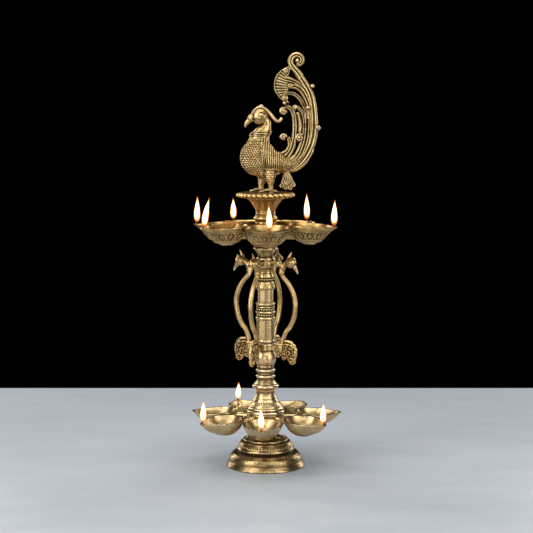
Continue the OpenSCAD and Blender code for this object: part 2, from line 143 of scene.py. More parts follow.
def arc(centre, r, a0, a1, n=10):
    a = np.radians(np.linspace(a0, a1, n))
    return [tuple(p) for p in np.stack([centre[0] + r * np.cos(a), centre[1] + r * np.sin(a)], -1)]


def eased(points, r):
    """An open outline with its corners rounded off, over at most r each way."""
    p = np.array(points, float)
    out = [p[0]]
    for before, at, after in zip(p, p[1:], p[2:]):
        u, v = before - at, after - at
        lu, lv = np.linalg.norm(u), np.linalg.norm(v)
        cut = min(r, lu / 2.2, lv / 2.2)
        a, b = at + u / max(lu, 1e-9) * cut, at + v / max(lv, 1e-9) * cut
        out += [a, (a + b + 2 * at) / 4, b]
    return np.array(out + [p[-1]])


def resampled(points, step):
    """The same open line with points about a step apart."""
    p = np.array(points, float)
    along = np.concatenate([[0], np.cumsum(np.linalg.norm(np.diff(p, axis=0), axis=1))])
    at = np.linspace(0, along[-1], max(2, int(math.ceil(along[-1] / step)) + 1))
    return np.stack([np.interp(at, along, p[:, k]) for k in range(p.shape[1])], -1)


def spline(points, n=12):
    """A smooth line through the points."""
    p = np.array(points, float)
    p = np.vstack([2 * p[0] - p[1], p, 2 * p[-1] - p[-2]])
    t = np.linspace(0, 1, n, endpoint=False)[:, None]
    out = []
    for a, b, c, d in zip(p, p[1:], p[2:], p[3:]):
        out.append(0.5 * (2 * b + (c - a) * t + (2 * a - 5 * b + 4 * c - d) * t**2
                          + (3 * b - a - 3 * c + d) * t**3))
    return np.vstack(out + [p[-2:-1]])


def lathe(skin, core=(), n=240, step=0.6, soft=0.5, relief=None):
    """A solid turned about Z. skin is its outer outline in (radius, height), from the bottom up. core is
    the way back down inside it; without one the skin starts and ends on the axis. relief(phi, r, z) is
    how far the skin stands out."""
    path = resampled(eased(skin, soft), step)
    along = np.gradient(path, axis=0)
    along /= np.maximum(np.linalg.norm(along, axis=1), 1e-9)[:, None]
    phi = np.arange(n) * TAU / n
    r, z = path[:, :1], path[:, 1:]
    out = relief(phi[None], r, z) if relief else 0 * r
    out = out * np.ones((1, n))
    radius = r + out * along[:, 1:]
    height = z - out * along[:, :1]
    if len(core):
        inside = np.array(core, float)
        radius = np.vstack([radius, np.repeat(inside[:, :1], n, 1)])
        height = np.vstack([height, np.repeat(inside[:, 1:], n, 1)])
    return tube(round_axis(radius, phi, height), loop=bool(len(core)))


def bead_row(phi, r, z, at_z, at_r, size, height, count=None):
    """Relief of half-round beads round a turned surface of radius at_r."""
    count = count or int(TAU * at_r / (2.15 * size))
    across = ((phi * count / TAU) % 1 - 0.5) * TAU * at_r / count
    inside = 1 - (across**2 + (z - at_z)**2) / size**2
    return height * np.sqrt(np.clip(inside, 0, None)) * (np.abs(r - at_r) < 3)


def bump(x, half):
    """A smooth bump of height 1 that reaches half each way from 0."""
    return np.clip(1 - (x / half)**2, 0, None)**2


def planar_sweep(path, width, thick, section, n=32, ends=(True, True)):
    """A bar along a line in a plane. width and thick are its sizes at each point, and section(t, s) gives
    (x, y) within -1..1 at angle t round it and share s along it. Ends may be rounded off."""
    p = np.array(path, float)
    width = np.broadcast_to(np.asarray(width, float), (len(p),)).copy()
    thick = np.broadcast_to(np.asarray(thick, float), (len(p),)).copy()
    along = np.gradient(p, axis=0)
    along /= np.maximum(np.linalg.norm(along, axis=1), 1e-9)[:, None]
    share = np.linspace(0, 1, len(p))
    scale = np.ones(len(p))
    if ends[0]:
        a = np.linspace(0.12, math.pi / 2, 6, endpoint=False)
        p = np.vstack([p[0] - np.outer(np.cos(a), along[0]) * width[0] / 2, p])
        along = np.vstack([np.repeat(along[:1], 6, 0), along])
        scale = np.concatenate([np.sin(a), scale])
        width, thick = (np.concatenate([np.repeat(x[:1], 6), x]) for x in (width, thick))
        share = np.concatenate([np.zeros(6), share])
    if ends[1]:
        a = np.linspace(math.pi / 2, 0.12, 7)[1:]
        p = np.vstack([p, p[-1] + np.outer(np.cos(a), along[-1]) * width[-1] / 2])
        along = np.vstack([along, np.repeat(along[-1:], 6, 0)])
        scale = np.concatenate([scale, np.sin(a)])
        width, thick = (np.concatenate([x, np.repeat(x[-1:], 6)]) for x in (width, thick))
        share = np.concatenate([share, np.ones(6)])
    t = np.arange(n) * TAU / n
    x, y = section(t[None], share[:, None])
    x = x * (width * scale)[:, None] / 2
    y = y * (thick * scale**0.7)[:, None] / 2
    side = np.stack([-along[:, 1], along[:, 0]], -1)
    flat = p[:, None] + x[..., None] * side[:, None]
    return np.stack([flat[..., 0], y * np.ones_like(x), flat[..., 1]], -1)


def round_section(t, s):
    return np.cos(t) + 0 * s, np.sin(t) + 0 * s


def plume_section(ridges, depth=0.22):
    """A flat bar whose two faces carry rounded ridges along it."""
    def section(t, s):
        x = np.sign(np.cos(t)) * np.abs(np.cos(t))**0.8
        crown = np.abs(np.sin(t))**0.45
        groove = np.abs(np.cos((x + 1) / 2 * math.pi * ridges))
        edge = np.clip((1 - np.abs(x)) * 6, 0, 1)
        return x + 0 * s, np.sign(np.sin(t)) * crown * (1 - depth * groove**2 * edge) + 0 * s
    return section


def ball(centre, radii, n=24):
    """An ellipsoid."""
    a = np.linspace(0.06, math.pi - 0.06, n)[:, None]
    t = np.arange(2 * n)[None] * math.pi / n
    unit = np.stack([np.sin(a) * np.cos(t), np.sin(a) * np.sin(t), -np.cos(a) + 0 * t], -1)
    return tube(unit * np.array(radii) + np.array(centre))


def bar(points, radii, n=20, flat=1.0):
    """A round bar through points in space; flat is how wide it is across Y for its height."""
    p = spline(points, 6)
    r = np.interp(np.linspace(0, 1, len(p)), np.linspace(0, 1, len(radii)), radii)
    along = np.gradient(p, axis=0)
    along /= np.linalg.norm(along, axis=1)[:, None]
    guide = np.array([0, 1.0, 0]) if abs(along[:, 1]).max() < 0.9 else np.array([1.0, 0, 0])
    u = np.cross(along, guide)
    u /= np.linalg.norm(u, axis=1)[:, None]
    v = np.cross(along, u)
    a = np.linspace(0.15, math.pi / 2, 4, endpoint=False)
    p = np.vstack([p[0] - np.outer(np.cos(a), along[0]) * r[0], p,
                   p[-1] + np.outer(np.cos(a[::-1]), along[-1]) * r[-1]])
    size = np.concatenate([r[0] * np.sin(a), r, r[-1] * np.sin(a[::-1])])
    u = np.vstack([np.repeat(u[:1], 4, 0), u, np.repeat(u[-1:], 4, 0)])
    v = np.vstack([np.repeat(v[:1], 4, 0), v, np.repeat(v[-1:], 4, 0)])
    t = (np.arange(n) * TAU / n)[None, :, None]
    rings = p[:, None] + size[:, None, None] * (np.cos(t) * u[:, None] + flat * np.sin(t) * v[:, None])
    return tube(rings)


# ---- Meshes ----

def pairs(quads, tris):
    """Every edge of the faces, both ways."""
    ends = [quads[:, [k, (k + 1) % 4]] for k in range(4)] + [tris[:, [k, (k + 1) % 3]] for k in range(3)]
    ends = np.concatenate(ends)
    return np.concatenate([ends, ends[:, ::-1]])


def mean_of_neighbours(values, ends, count):
    total = np.stack([np.bincount(ends[:, 0], weights=values[ends[:, 1], k], minlength=len(values))
                      for k in range(values.shape[1])], -1)
    return total / np.maximum(count, 1)[:, None]


def normals(points, quads, tris):
    out = np.zeros_like(points)
    for faces, m in ((quads, 4), (tris, 3)):
        if len(faces):
            across = np.cross(points[faces[:, 2]] - points[faces[:, 0]],
                              points[faces[:, 3 if m == 4 else 1]] - points[faces[:, 1 if m == 4 else 0]])
            across = across if m == 4 else -across
            for k in range(m):
                for axis in range(3):
                    out[:, axis] += np.bincount(faces[:, k], weights=across[:, axis], minlength=len(points))
    return out / np.maximum(np.linalg.norm(out, axis=1), 1e-12)[:, None]


def hollowness(points, quads, tris, reach=1.6):
    """1 in a groove, 0 on an edge and 0.5 on the flat, at a fine and at a broad scale."""
    ends = pairs(quads, tris)
    count = np.bincount(ends[:, 0], minlength=len(points))
    offset = mean_of_neighbours(points, ends, count) - points
    lengths = np.linalg.norm(points[ends[:, 1]] - points[ends[:, 0]], axis=1)**2
    size = np.bincount(ends[:, 0], weights=lengths, minlength=len(points)) / np.maximum(count, 1)
    bend = np.einsum("ij,ij->i", offset, normals(points, quads, tris)) / np.maximum(size, 1e-6)
    bend = np.clip(bend, -1.5, 1.5)[:, None]
    fine = bend
    for _ in range(2):
        fine = (fine + mean_of_neighbours(fine, ends, count)) / 2
    broad = fine
    for _ in range(10):
        broad = (broad + mean_of_neighbours(broad, ends, count)) / 2
    return 0.5 + 0.5 * np.tanh(reach * (fine + 1.6 * broad)[:, 0])


def new_mesh(name, points, quads, tris):
    mesh = bpy.data.meshes.new(name)
    loops = np.concatenate([quads.ravel(), tris.ravel()]).astype(np.int32)
    starts = np.concatenate([np.arange(len(quads)) * 4, len(quads) * 4 + np.arange(len(tris)) * 3])
    mesh.vertices.add(len(points))
    mesh.vertices.foreach_set("co", (points * MM).astype(np.float32).ravel())
    mesh.loops.add(len(loops))
    mesh.loops.foreach_set("vertex_index", loops)
    mesh.polygons.add(len(starts))
    mesh.polygons.foreach_set("loop_start", starts.astype(np.int32))
    mesh.update(calc_edges=True)
    mesh.validate()
    return mesh


def fused(shape, voxel, rounds=2):
    """One skin over all the shape's closed surfaces, smoothed a little."""
    points, quads, tris, _ = shape.arrays()
    scratch = bpy.data.objects.new("scratch", new_mesh("scratch", points, quads, tris))
    bpy.context.scene.collection.objects.link(scratch)
    remesh = scratch.modifiers.new("skin", "REMESH")
    remesh.mode = "VOXEL"
    remesh.voxel_size = voxel * MM
    made = scratch.evaluated_get(bpy.context.evaluated_depsgraph_get()).to_mesh()
    co = np.zeros(len(made.vertices) * 3, np.float32)
    made.vertices.foreach_get("co", co)
    corner = np.zeros(len(made.loops), np.int32)
    made.loops.foreach_get("vertex_index", corner)
    first = np.zeros(len(made.polygons), np.int32)
    made.polygons.foreach_get("loop_start", first)
    size = np.zeros(len(made.polygons), np.int32)
    made.polygons.foreach_get("loop_total", size)
    quads = np.stack([corner[first[size == 4] + k] for k in range(4)], -1)
    tris = np.stack([corner[first[size == 3] + k] for k in range(3)], -1)
    bpy.data.objects.remove(scratch)
    points = co.reshape(-1, 3).astype(float) / MM
    return smoothed(points, quads, tris, rounds), quads, tris


def smoothed(points, quads, tris, rounds, strength=0.5):
    ends = pairs(quads, tris)
    count = np.bincount(ends[:, 0], minlength=len(points))
    for _ in range(rounds):
        points = points + strength * (mean_of_neighbours(points, ends, count) - points)
    return points


def piece(name, shape, body, material, node=None, marked=False, sharp=40):
    """A mesh object of the lamp, riding on a body. It takes the place of the CAD node, which has the same
    name unless node is given. A flame is light, so it has no slot and replaces nothing."""
    points, quads, tris, marks = shape.arrays()
    mesh = new_mesh(name, points, quads, tris)
    values = {"hollow": hollowness(points, quads, tris)}
    if marked:
        values["mark"] = marks
    for attribute, value in values.items():
        mesh.attributes.new(attribute, "FLOAT", "POINT").data.foreach_set("value", value.astype(np.float32))
    mesh.shade_smooth()
    if sharp:
        mesh.set_sharp_from_angle(angle=math.radians(sharp))
    mesh.materials.append(material)
    made = bpy.data.objects.new(name, mesh)
    bpy.context.scene.collection.objects.link(made)
    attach(made, body)
    if material.name in SLOTS:
        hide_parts(node or name)


# ---- Materials ----

class Nodes:
    """Short calls for making one material's nodes."""

    def __init__(self, name):
        self.material = bpy.data.materials.new(name)
        self.material.use_nodes = True
        self.tree = self.material.node_tree
        self.shader = self.tree.nodes["Principled BSDF"]
        self.place = self.tree.nodes.new("ShaderNodeTexCoord").outputs["Object"]

    def new(self, kind, **values):
        node = self.tree.nodes.new("ShaderNode" + kind)
        for key, value in values.items():
            setattr(node, key, value)
        return node

    def link(self, source, target):
        if isinstance(source, (int, float)):
            target.default_value = source
        else:
            self.tree.links.new(source, target)

    def math(self, operation, a, b=0.0, clamp=False):
        node = self.new("Math", operation=operation, use_clamp=clamp)
        self.link(a, node.inputs[0])
        self.link(b, node.inputs[1])
        return node.outputs[0]

    def ramp(self, value, low, high, to_low=0.0, to_high=1.0):
        node = self.new("MapRange")
        self.link(value, node.inputs[0])
        for k, number in enumerate((low, high, to_low, to_high)):
            node.inputs[k + 1].default_value = number
        return node.outputs[0]

    def noise(self, scale, detail=3.0, rough=0.55, stretch=None):
        node = self.new("TexNoise")
        node.inputs["Scale"].default_value = scale
        node.inputs["Detail"].default_value = detail
        node.inputs["Roughness"].default_value = rough
        source = self.place
        if stretch:
            mapping = self.new("Mapping")
            mapping.inputs["Scale"].default_value = stretch
            self.link(source, mapping.inputs["Vector"])
            source = mapping.outputs[0]
        self.link(source, node.inputs["Vector"])
        return node.outputs[0]

    def attribute(self, name):
        return self.new("Attribute", attribute_name=name).outputs["Fac"]

    def mix(self, share, a, b):
        """A colour between a and b, which are three numbers or an output."""
        node = self.new("Mix", data_type="RGBA")
        self.link(share, node.inputs[0])
        for value, socket in ((a, node.inputs[6]), (b, node.inputs[7])):
            if isinstance(value, tuple):
                socket.default_value = (*value, 1)
            else:
                self.link(value, socket)
        return node.outputs[2]

    def bump(self, height, distance, strength=1.0):
        node = self.new("Bump")
        node.inputs["Strength"].default_value = strength
        node.inputs["Distance"].default_value = distance
        self.link(height, node.inputs["Height"])
        self.link(node.outputs[0], self.shader.inputs["Normal"])


# How many of each kind of mark lie along a metre, and how far the occlusion test reaches that paints shade
# into corners and where parts meet
BLOTCHES, SPECKS, RIPPLES, GRAINS = 95, 620, 260, 1500
OCCLUSION_SHADE_REACH = 0.005


def brass(name, metal, worn, patina_and_shade_tone, grime, shine, dull):
    """Aged cast brass: worn bright on the edges, tarnished in the hollows, with painted shade in its corners
    and where it meets other parts, mottled and pitted. grime is how much its blotches stain, and shine and
    dull are the roughness where it is clean and where it is tarnished or shaded."""
    n = Nodes(name)
    hollow = n.attribute("hollow")
    blotch = n.noise(BLOTCHES, 4, 0.6)
    speck = n.noise(SPECKS, 3, 0.65)
    # Painted shade: an ambient-occlusion test darkens the metal in its corners and where it meets other
    # parts; in the corners it also stands for patina.
    depth = n.new("AmbientOcclusion", samples=6)
    depth.inputs["Distance"].default_value = OCCLUSION_SHADE_REACH
    corner = n.ramp(depth.outputs["AO"], 0.35, 0.94, 0.85, 0.0)
    groove = n.ramp(hollow, 0.51, 0.68)
    edge = n.ramp(hollow, 0.46, 0.2)
    stain = n.math("ADD", n.ramp(blotch, 0.42, 0.68, 0, grime), n.ramp(speck, 0.55, 0.75, 0, 0.25))
    # The tarnish sums patina in the grooves, blotchy stains and the painted corner shade; it darkens the
    # colour and dulls the roughness.
    tarnish_and_shade = n.math("ADD", n.math("MULTIPLY", groove, 0.9), n.math("ADD", corner, stain), clamp=True)
    colour = n.mix(n.ramp(edge, 0, 1, 0, 0.8), metal, worn)
    colour = n.mix(tarnish_and_shade, colour, patina_and_shade_tone)
    n.link(colour, n.shader.inputs["Base Color"])
    n.shader.inputs["Metallic"].default_value = 1.0
    rough = n.math("ADD", n.ramp(tarnish_and_shade, 0, 1, shine, dull), n.ramp(speck, 0.3, 0.7, -0.04, 0.04))
    n.link(n.math("SUBTRACT", rough, n.math("MULTIPLY", edge, 0.05)), n.shader.inputs["Roughness"])
    surface = n.math("ADD", n.math("MULTIPLY", n.noise(GRAINS, 2), 0.3), n.noise(RIPPLES, 3))
    n.bump(surface, 0.0003, 0.4)
    return n.material


patinated = brass("patinated_brass", (0.54, 0.385, 0.165), (0.86, 0.66, 0.34), (0.055, 0.034, 0.012),
                  0.4, 0.31, 0.52)
carved = brass("carved_brass", (0.51, 0.335, 0.125), (0.80, 0.57, 0.27), (0.04, 0.022, 0.008),
               0.35, 0.29, 0.55)
tarnished = brass("tarnished_brass", (0.34, 0.24, 0.11), (0.72, 0.54, 0.27), (0.035, 0.022, 0.008),
                  0.45, 0.26, 0.5)
polished = brass("polished_brass", (0.62, 0.46, 0.235), (0.88, 0.72, 0.46), (0.10, 0.064, 0.03),
                 0.32, 0.27, 0.5)


def cotton_material():
    """Loose cotton, soaked darker towards the flame and burnt black at its tip."""
    n = Nodes("cotton")
    burn = n.math("ADD", n.attribute("mark"), n.ramp(n.noise(700, 2), 0.3, 0.7, -0.08, 0.08))
    fibre = n.noise(900, 4, 0.7)
    colour = n.mix(n.ramp(fibre, 0.3, 0.7), (0.62, 0.52, 0.36), (0.80, 0.74, 0.62))
    colour = n.mix(n.ramp(burn, 0.55, 0.8), colour, (0.20, 0.09, 0.03))
    colour = n.mix(n.ramp(burn, 0.78, 0.9), colour, (0.012, 0.009, 0.008))
    n.link(colour, n.shader.inputs["Base Color"])
    n.shader.inputs["Roughness"].default_value = 0.85
    n.shader.inputs["Sheen Weight"].default_value = 0.2
    n.bump(fibre, 0.0004, 0.7)
    return n.material


def flame_material(name, colours, strength, solid):
    """Light that changes colour up the flame. solid below 1 lets what is behind it through."""
    n = Nodes(name)
    rise = n.math("ADD", n.attribute("mark"), n.ramp(n.noise(160, 1), 0.3, 0.7, -0.04, 0.04))
    colour = colours[0]
    for k, following in enumerate(colours[1:]):
        share = n.ramp(rise, k / (len(colours) - 1), (k + 1) / (len(colours) - 1))
        colour = n.mix(share, colour, following)
    glow = n.new("Emission")
    n.link(colour, glow.inputs["Color"])
    glow.inputs["Strength"].default_value = strength
    light = glow.outputs[0]
    n.tree.nodes.remove(n.shader)
    if solid < 1:
        both = n.new("MixShader")
        n.link(solid, both.inputs[0])
        n.link(n.new("BsdfTransparent").outputs[0], both.inputs[1])
        n.link(light, both.inputs[2])
        light = both.outputs[0]
    n.link(light, n.tree.nodes["Material Output"].inputs["Surface"])
    return n.material


cotton = cotton_material()
# Colours from a flame's foot to its tip
flame_core = flame_material("flame_core", [(0.06, 0.012, 0.002), (1, 0.60, 0.25), (1, 0.62, 0.28),
                                           (0.07, 0.03, 0.006)], 24, 1)
flame_veil = flame_material("flame_veil", [(1, 0.16, 0.02), (1, 0.34, 0.06), (1, 0.36, 0.08),
                                           (1, 0.24, 0.03)], 1.5, 0.4)
# The slot of each material, by the name Blender gave it beside the imported materials
SLOTS = {patinated.name: "patinated_brass", tarnished.name: "patinated_brass",
         carved.name: "carved_brass", polished.name: "polished_brass", cotton.name: "cotton"}

# ---- Camera, light and floor ----

CAMERA_BACK = 1798
CAMERA_UP = 462
CAMERA_ASIDE = 1.3
CAMERA_DOWN = 6.33
CAMERA_LENS = 94.0
TABLE_HALF = 514
TABLE_THICK = 34


def make_stage():
    camera = bpy.data.objects.new("camera", bpy.data.cameras.new("camera"))
    camera.data.lens = CAMERA_LENS
    camera.data.sensor_width = 36
    camera.data.clip_start, camera.data.clip_end = 0.05, 50
    camera.location = Vector((CAMERA_ASIDE, -CAMERA_BACK, CAMERA_UP)) * MM
    camera.rotation_euler = (math.radians(90 - CAMERA_DOWN), 0, 0)
    bpy.context.scene.collection.objects.link(camera)
    bpy.context.scene.camera = camera

    half, edge = TABLE_HALF, 5
    outline = np.array([[-half, -half], [half, -half], [half, half], [-half, half]], float)
    rings = []
    for inset, z in ((edge, -TABLE_THICK), (0, edge - TABLE_THICK), (0, -edge), (edge * 0.3, -edge * 0.3),
                     (edge, 0), (half * 0.6, 0)):
        ring = outline * (half - inset) / half
        rings.append(np.c_[ring, np.full(4, z)])
    shape = Shape().add(*tube(np.array(rings)))
    n = Nodes("pale_stone")
    cloud = n.noise(5, 6, 0.62, (1, 2.6, 1))
    n.link(n.mix(n.ramp(cloud, 0.35, 0.75), (0.45, 0.495, 0.555), (0.36, 0.41, 0.47)),
           n.shader.inputs["Base Color"])
    n.link(n.ramp(cloud, 0.3, 0.7, 0.36, 0.46), n.shader.inputs["Roughness"])
    points, quads, tris, _ = shape.arrays()
    mesh = new_mesh("table", points, quads, tris)
    mesh.materials.append(n.material)
    table = bpy.data.objects.new("table", mesh)
    bpy.context.scene.collection.objects.link(table)

    world = bpy.data.worlds.new("studio")
    world.use_nodes = True
    world.node_tree.nodes["Background"].inputs[0].default_value = (0.0, 0.0, 0.0, 1)
    bpy.context.scene.world = world
    bpy.context.scene.view_settings.view_transform = "Standard"


# Each light's place in metres, the height that it aims at, its width and height, and its watts
LIGHTS = {
    "key": ((-1.5, -1.15, 1.15), 0.25, (1.2, 2.5), 41),
    "fill": ((1.4, -1.2, 0.85), 0.25, (1.1, 2.0), 20),
    "front": ((0.2, -2.2, 1.7), 0.2, (2.2, 1.0), 17),
    "low_front": ((-0.35, -1.9, 0.1), 0.28, (1.1, 0.7), 6),
    "over": ((0, 0.1, 1.9), 0, (1.6, 1.6), 22),
    "left_edge": ((-0.9, 0.9, 0.7), 0.3, (0.5, 1.4), 7),
    "right_edge": ((0.9, 0.9, 0.7), 0.3, (0.5, 1.4), 7),
}
LIGHT_COLOUR = (1, 0.97, 0.93)


def make_lights():
    for name, (at, aim, size, watts) in LIGHTS.items():
        light = bpy.data.lights.new(name, "AREA")
        light.shape = "RECTANGLE"
        light.size, light.size_y = size
        light.energy = watts
        light.color = LIGHT_COLOUR
        made = bpy.data.objects.new(name, light)
        made.location = at
        made.rotation_euler = (Vector((0, 0, aim)) - Vector(at)).to_track_quat("-Z", "Y").to_euler()
        bpy.context.scene.collection.objects.link(made)


make_stage()
make_lights()

# ---- Foot ----


def make_foot():
    high = span("base_foot")[1]
    r = high[0]
    seat = high[2]
    skin = ([(r - 5, 0), (r - 0.5, 0), (r, 0.7), (r - 0.1, 1.6), (r - 4.2, 8)]
            + arc((r - 14.8, 8.6), 10.2, 4, 82)
            + [(r - 15.4, 19.6), (r - 15.6, 20.6)] + arc((r - 16.6, 23), 2.2, -70, 60, 8)
            + [(r - 16.5, 27.5), (r - 19.4, 32)] + arc((r - 24.2, 34.3), 1.7, -30, 180, 10)
            + [(r - 26.4, 33.4), (r - 31, 30.6), (15, 29.4), (13.4, 30.6), (13.4, seat - 0.6),
               (12.8, seat)])
    core = [(5.1, seat), (5.1, 24), (1, 23.6), (1, 20.4), (11, 20), (11, 26), (16, 26), (r - 30, 27.4),
            (r - 25.5, 30), (r - 21.5, 29), (r - 19.8, 25.5), (r - 19.6, 19)]
    core += arc((r - 14.8, 8.6), 6.6, 110, 4) + [(r - 8.2, 8)]

    def relief(phi, rr, z):
        # A chased band round the foot of the dome, and a turned groove above and under it
        band = bump(z - 11.6, 3.6) * (rr > r - 9)
        leaves = (np.abs(np.sin(phi * 34)) * 0.5
                  + 0.5 * np.cos((z - 11.6) * 2.1 + np.abs(np.sin(phi * 34)) * 3))
        chased = 0.32 * band * leaves
        lines = sum(0.28 * bump(z - at, 0.7) * (rr > r - 16) for at in (7.6, 16.0))
        upper = 0.22 * bump(z - 27.5, 2.4) * np.cos(phi * 58) * (rr > r - 20)
        chip = 0.7 * bump(z - 1.0, 2.2) * (rr > r - 3) * np.clip(
            np.sin(phi * 7 + 1.3) * np.sin(phi * 19 + 0.5) * np.sin(phi * 3 + 2.1) - 0.45, 0, 1) * 2.4
        cast = 0.10 * np.sin(phi * 5 + z * 0.5) * np.sin(phi * 11 + 2)
        return (chased - lines + upper - chip + cast * (rr > r - 30)) * np.clip((z - 0.3) / 0.5, 0, 1)

    shape = Shape().add(*lathe(skin, core, 480, 0.75, 0.6, relief))
    piece("foot", shape, "base", tarnished, "base_foot")


# ---- Cups ----

CUP_WALL = 2.2
# How much nearer the rim the cavity's centre is than the cup's
CAVITY_LIFT = 2
# How far the tiers' cups tip down towards their spouts, and how steeply the wicks lie, in degrees
CUP_DROOP = 3
WICK_RISE = 22
SPOUT_LIP = 3.4
SPOUT_SHORT = 0.5
CHEEK_GAP = 0.15
HUB_CLEAR = 0.08
# at, reach and hub_r are how far a cup's middle, its tip and its hub's rim are from the axis; up is how far
# the middle of the cup's ball is over its rim, and keel is how much shallower the spout is. flames are the
# heights of the lit cups' flames, and leans how far a flame is blown sideways.
CUPS = {
    "lower": dict(azimuths=[-3 + 360 / 7 * k for k in range(7)], at=65, rim_z=68.5, r=25.4, reach=103,
                  up=5, depth=19, hub_r=24, neck=11, keel=-0.4, metal=polished, rows=96, across=100,
                  lit=(1, 2, 5, 7), flames=(27.5, 27, 23.5, 28.5), leans={}),
    "upper": dict(azimuths=[3, 71, 143, 208, 256, 304], at=60, rim_z=318, r=29.6, reach=98,
                  up=6, depth=22.5, hub_r=27, neck=14, keel=0.32, metal=carved, rows=150, across=190,
                  lit=(1, 2, 3, 4, 5, 6), flames=(30, 33, 35, 28.5, 34.5, 37), leans={5: 7.5}),
}


def drop(r, tip, up, rows, across, keel=0.0):
    """The part under the rim of a ball of radius r, centred `up` over the rim's middle and drawn out
    along -Y to a point at the rim. Rows go from the back to the tip, columns across under it. keel is
    how much shallower the spout is near its tip."""
    first = math.asin(min(0.95, r / (tip + up)))
    length = tip + up / math.tan(first)
    cone = math.asin(r / length)
    front = length - up / math.tan(cone)
    back = -math.sqrt(r * r - up * up)
    t = np.linspace(0.004, 0.996, rows)
    t = 0.35 * t + 0.65 * (1 - np.cos(math.pi * t)) / 2
    along = back + (front - back) * t
    radius = np.where(along < r * math.sin(cone), np.sqrt(np.maximum(r * r - along**2, 0)),
                      (length - along) * math.tan(cone))
    widest = np.arccos(np.clip(up / np.maximum(radius, up + 1e-6), -1, 1))
    angle = widest[:, None] * np.linspace(-1, 1, across)
    radius = radius[:, None]
    near = np.clip((24 - (tip - along)) / 18, 0, 1)[:, None]
    shallower = 1 - keel * near**2 * (3 - 2 * near)
    return np.stack([radius * np.sin(angle), -along[:, None] + 0 * angle,
                     (up - radius * np.cos(angle)) * shallower], -1)


def placed(points, tier, azimuth):
    """From a cup's own frame, with its origin at the rim's middle, to the lamp's."""
    return turned(drooped(points, tier), azimuth)


def drooped(points, tier):
    c, s = math.cos(math.radians(CUP_DROOP)), math.sin(math.radians(CUP_DROOP))
    x, y, z = points[..., 0], points[..., 1], points[..., 2]
    return np.stack([x, y * c - z * s - tier["at"], y * s + z * c + tier["rim_z"]], -1)


def held_in_wedge(points, before, after, gap):
    """Points pushed back to the upright planes that part a cup from its neighbours."""
    for angle, way in ((after, 1), (before, -1)):
        a = math.radians(angle)
        across = np.array([way * math.cos(a), math.sin(a)])
        over = points[..., :2] @ across + gap
        points = points.copy()
        points[..., :2] -= np.clip(over, 0, None)[..., None] * across
    return points


def carved_band(points):
    """How far the upper cups' carving stands out: arches with a flower in each, between plain lines."""
    x, y, z = points[..., 0], points[..., 1], points[..., 2]
    around = np.arctan2(x, -y - 2)
    count = 12
    cell = TAU * 24 / count
    a = ((around * count / TAU) % 1 - 0.5) * cell
    b = z + 12.3
    ring = np.hypot(a, b)
    arches = 0.5 + 0.5 * np.cos(ring * TAU / 2.9)
    petals = 0.5 + 0.5 * np.cos(np.arctan2(a, b) * 6)
    flower = np.where(ring < 2.1, 1 - (ring / 2.1)**2, np.where(ring < 3.7, petals, arches))
    window = np.clip((4.9 - np.abs(b)) * 2, 0, 1)
    leaf = np.abs(np.sin(around * 16)) * bump(z + 19.2, 1.9)
    lines = bump(z + 6.6, 0.8) + bump(z + 17.6, 0.7)
    row = (0.5 + 0.5 * np.cos(around * 60)) * bump(z + 4.9, 1.0)
    return 1.0 * flower * window + 0.7 * leaf + 0.5 * lines + 0.5 * row - 0.75 * window


def cup_shape(name, k):
    tier = CUPS[name]
    azimuths = tier["azimuths"]
    azimuth, count = azimuths[k], len(azimuths)
    after = ((azimuths[(k + 1) % count] - azimuth) % 360) / 2
    before = ((azimuth - azimuths[k - 1]) % 360) / 2
    up, keel = tier["up"], tier["keel"]
    r = math.hypot(tier["r"], up)
    tip = tier["reach"] - tier["at"] - SPOUT_SHORT
    outer = drop(r, tip, up, tier["rows"], tier["across"], keel)
    inner = drop(r - CUP_WALL, tip - SPOUT_LIP, up + CAVITY_LIFT, tier["rows"], tier["across"] // 2, keel)
    away = outer - np.array([0, 0, up])
    away[..., 1] *= 0.35
    away /= np.linalg.norm(away, axis=-1)[..., None]
    z = outer[..., 2]
    rim_roll = 0.35 * bump(z + 1.2, 1.3)
    cast = 0.12 * np.sin(outer[..., 0] * 0.33 + k) * np.sin(outer[..., 1] * 0.27 + 2 * k)
    out = rim_roll + cast + (carved_band(outer) if name == "upper" else 0.22 * bump(z + 4.2, 0.8))
    out = out * np.clip((tip + outer[..., 1]) / 6, 0, 1)
    outer = outer + out[..., None] * away
    outer[..., 2] = np.maximum(outer[..., 2], -tier["depth"])
    crown = [(outer[:, j] + inner[:, j]) / 2 + np.array([0, 0, 0.45]) for j in (-1, 0)]
    in_place = [held_in_wedge(drooped(part, tier), before, after, gap) for part, gap in
                ((outer, CHEEK_GAP), (crown[0][:, None], CHEEK_GAP + 0.6),
                 (inner[:, ::-1], CHEEK_GAP + CUP_WALL), (crown[1][:, None], CHEEK_GAP + 0.6))]
    shape = Shape().add(*tube(turned(np.concatenate(in_place, axis=1), azimuth)))
    neck(shape, tier, azimuth)
    if name == "upper":
        ring = raised([(0.3, -1.4), (8.4, -1.4), (9.2, -0.5), (9.4, 0.4), (0.3, 0.8)], -tier["depth"])
        points, quads, tris = lathe(ring, (), 96, 0.8, 0.4)
        shape.add(placed(points, tier, azimuth), quads, tris)
    return shape


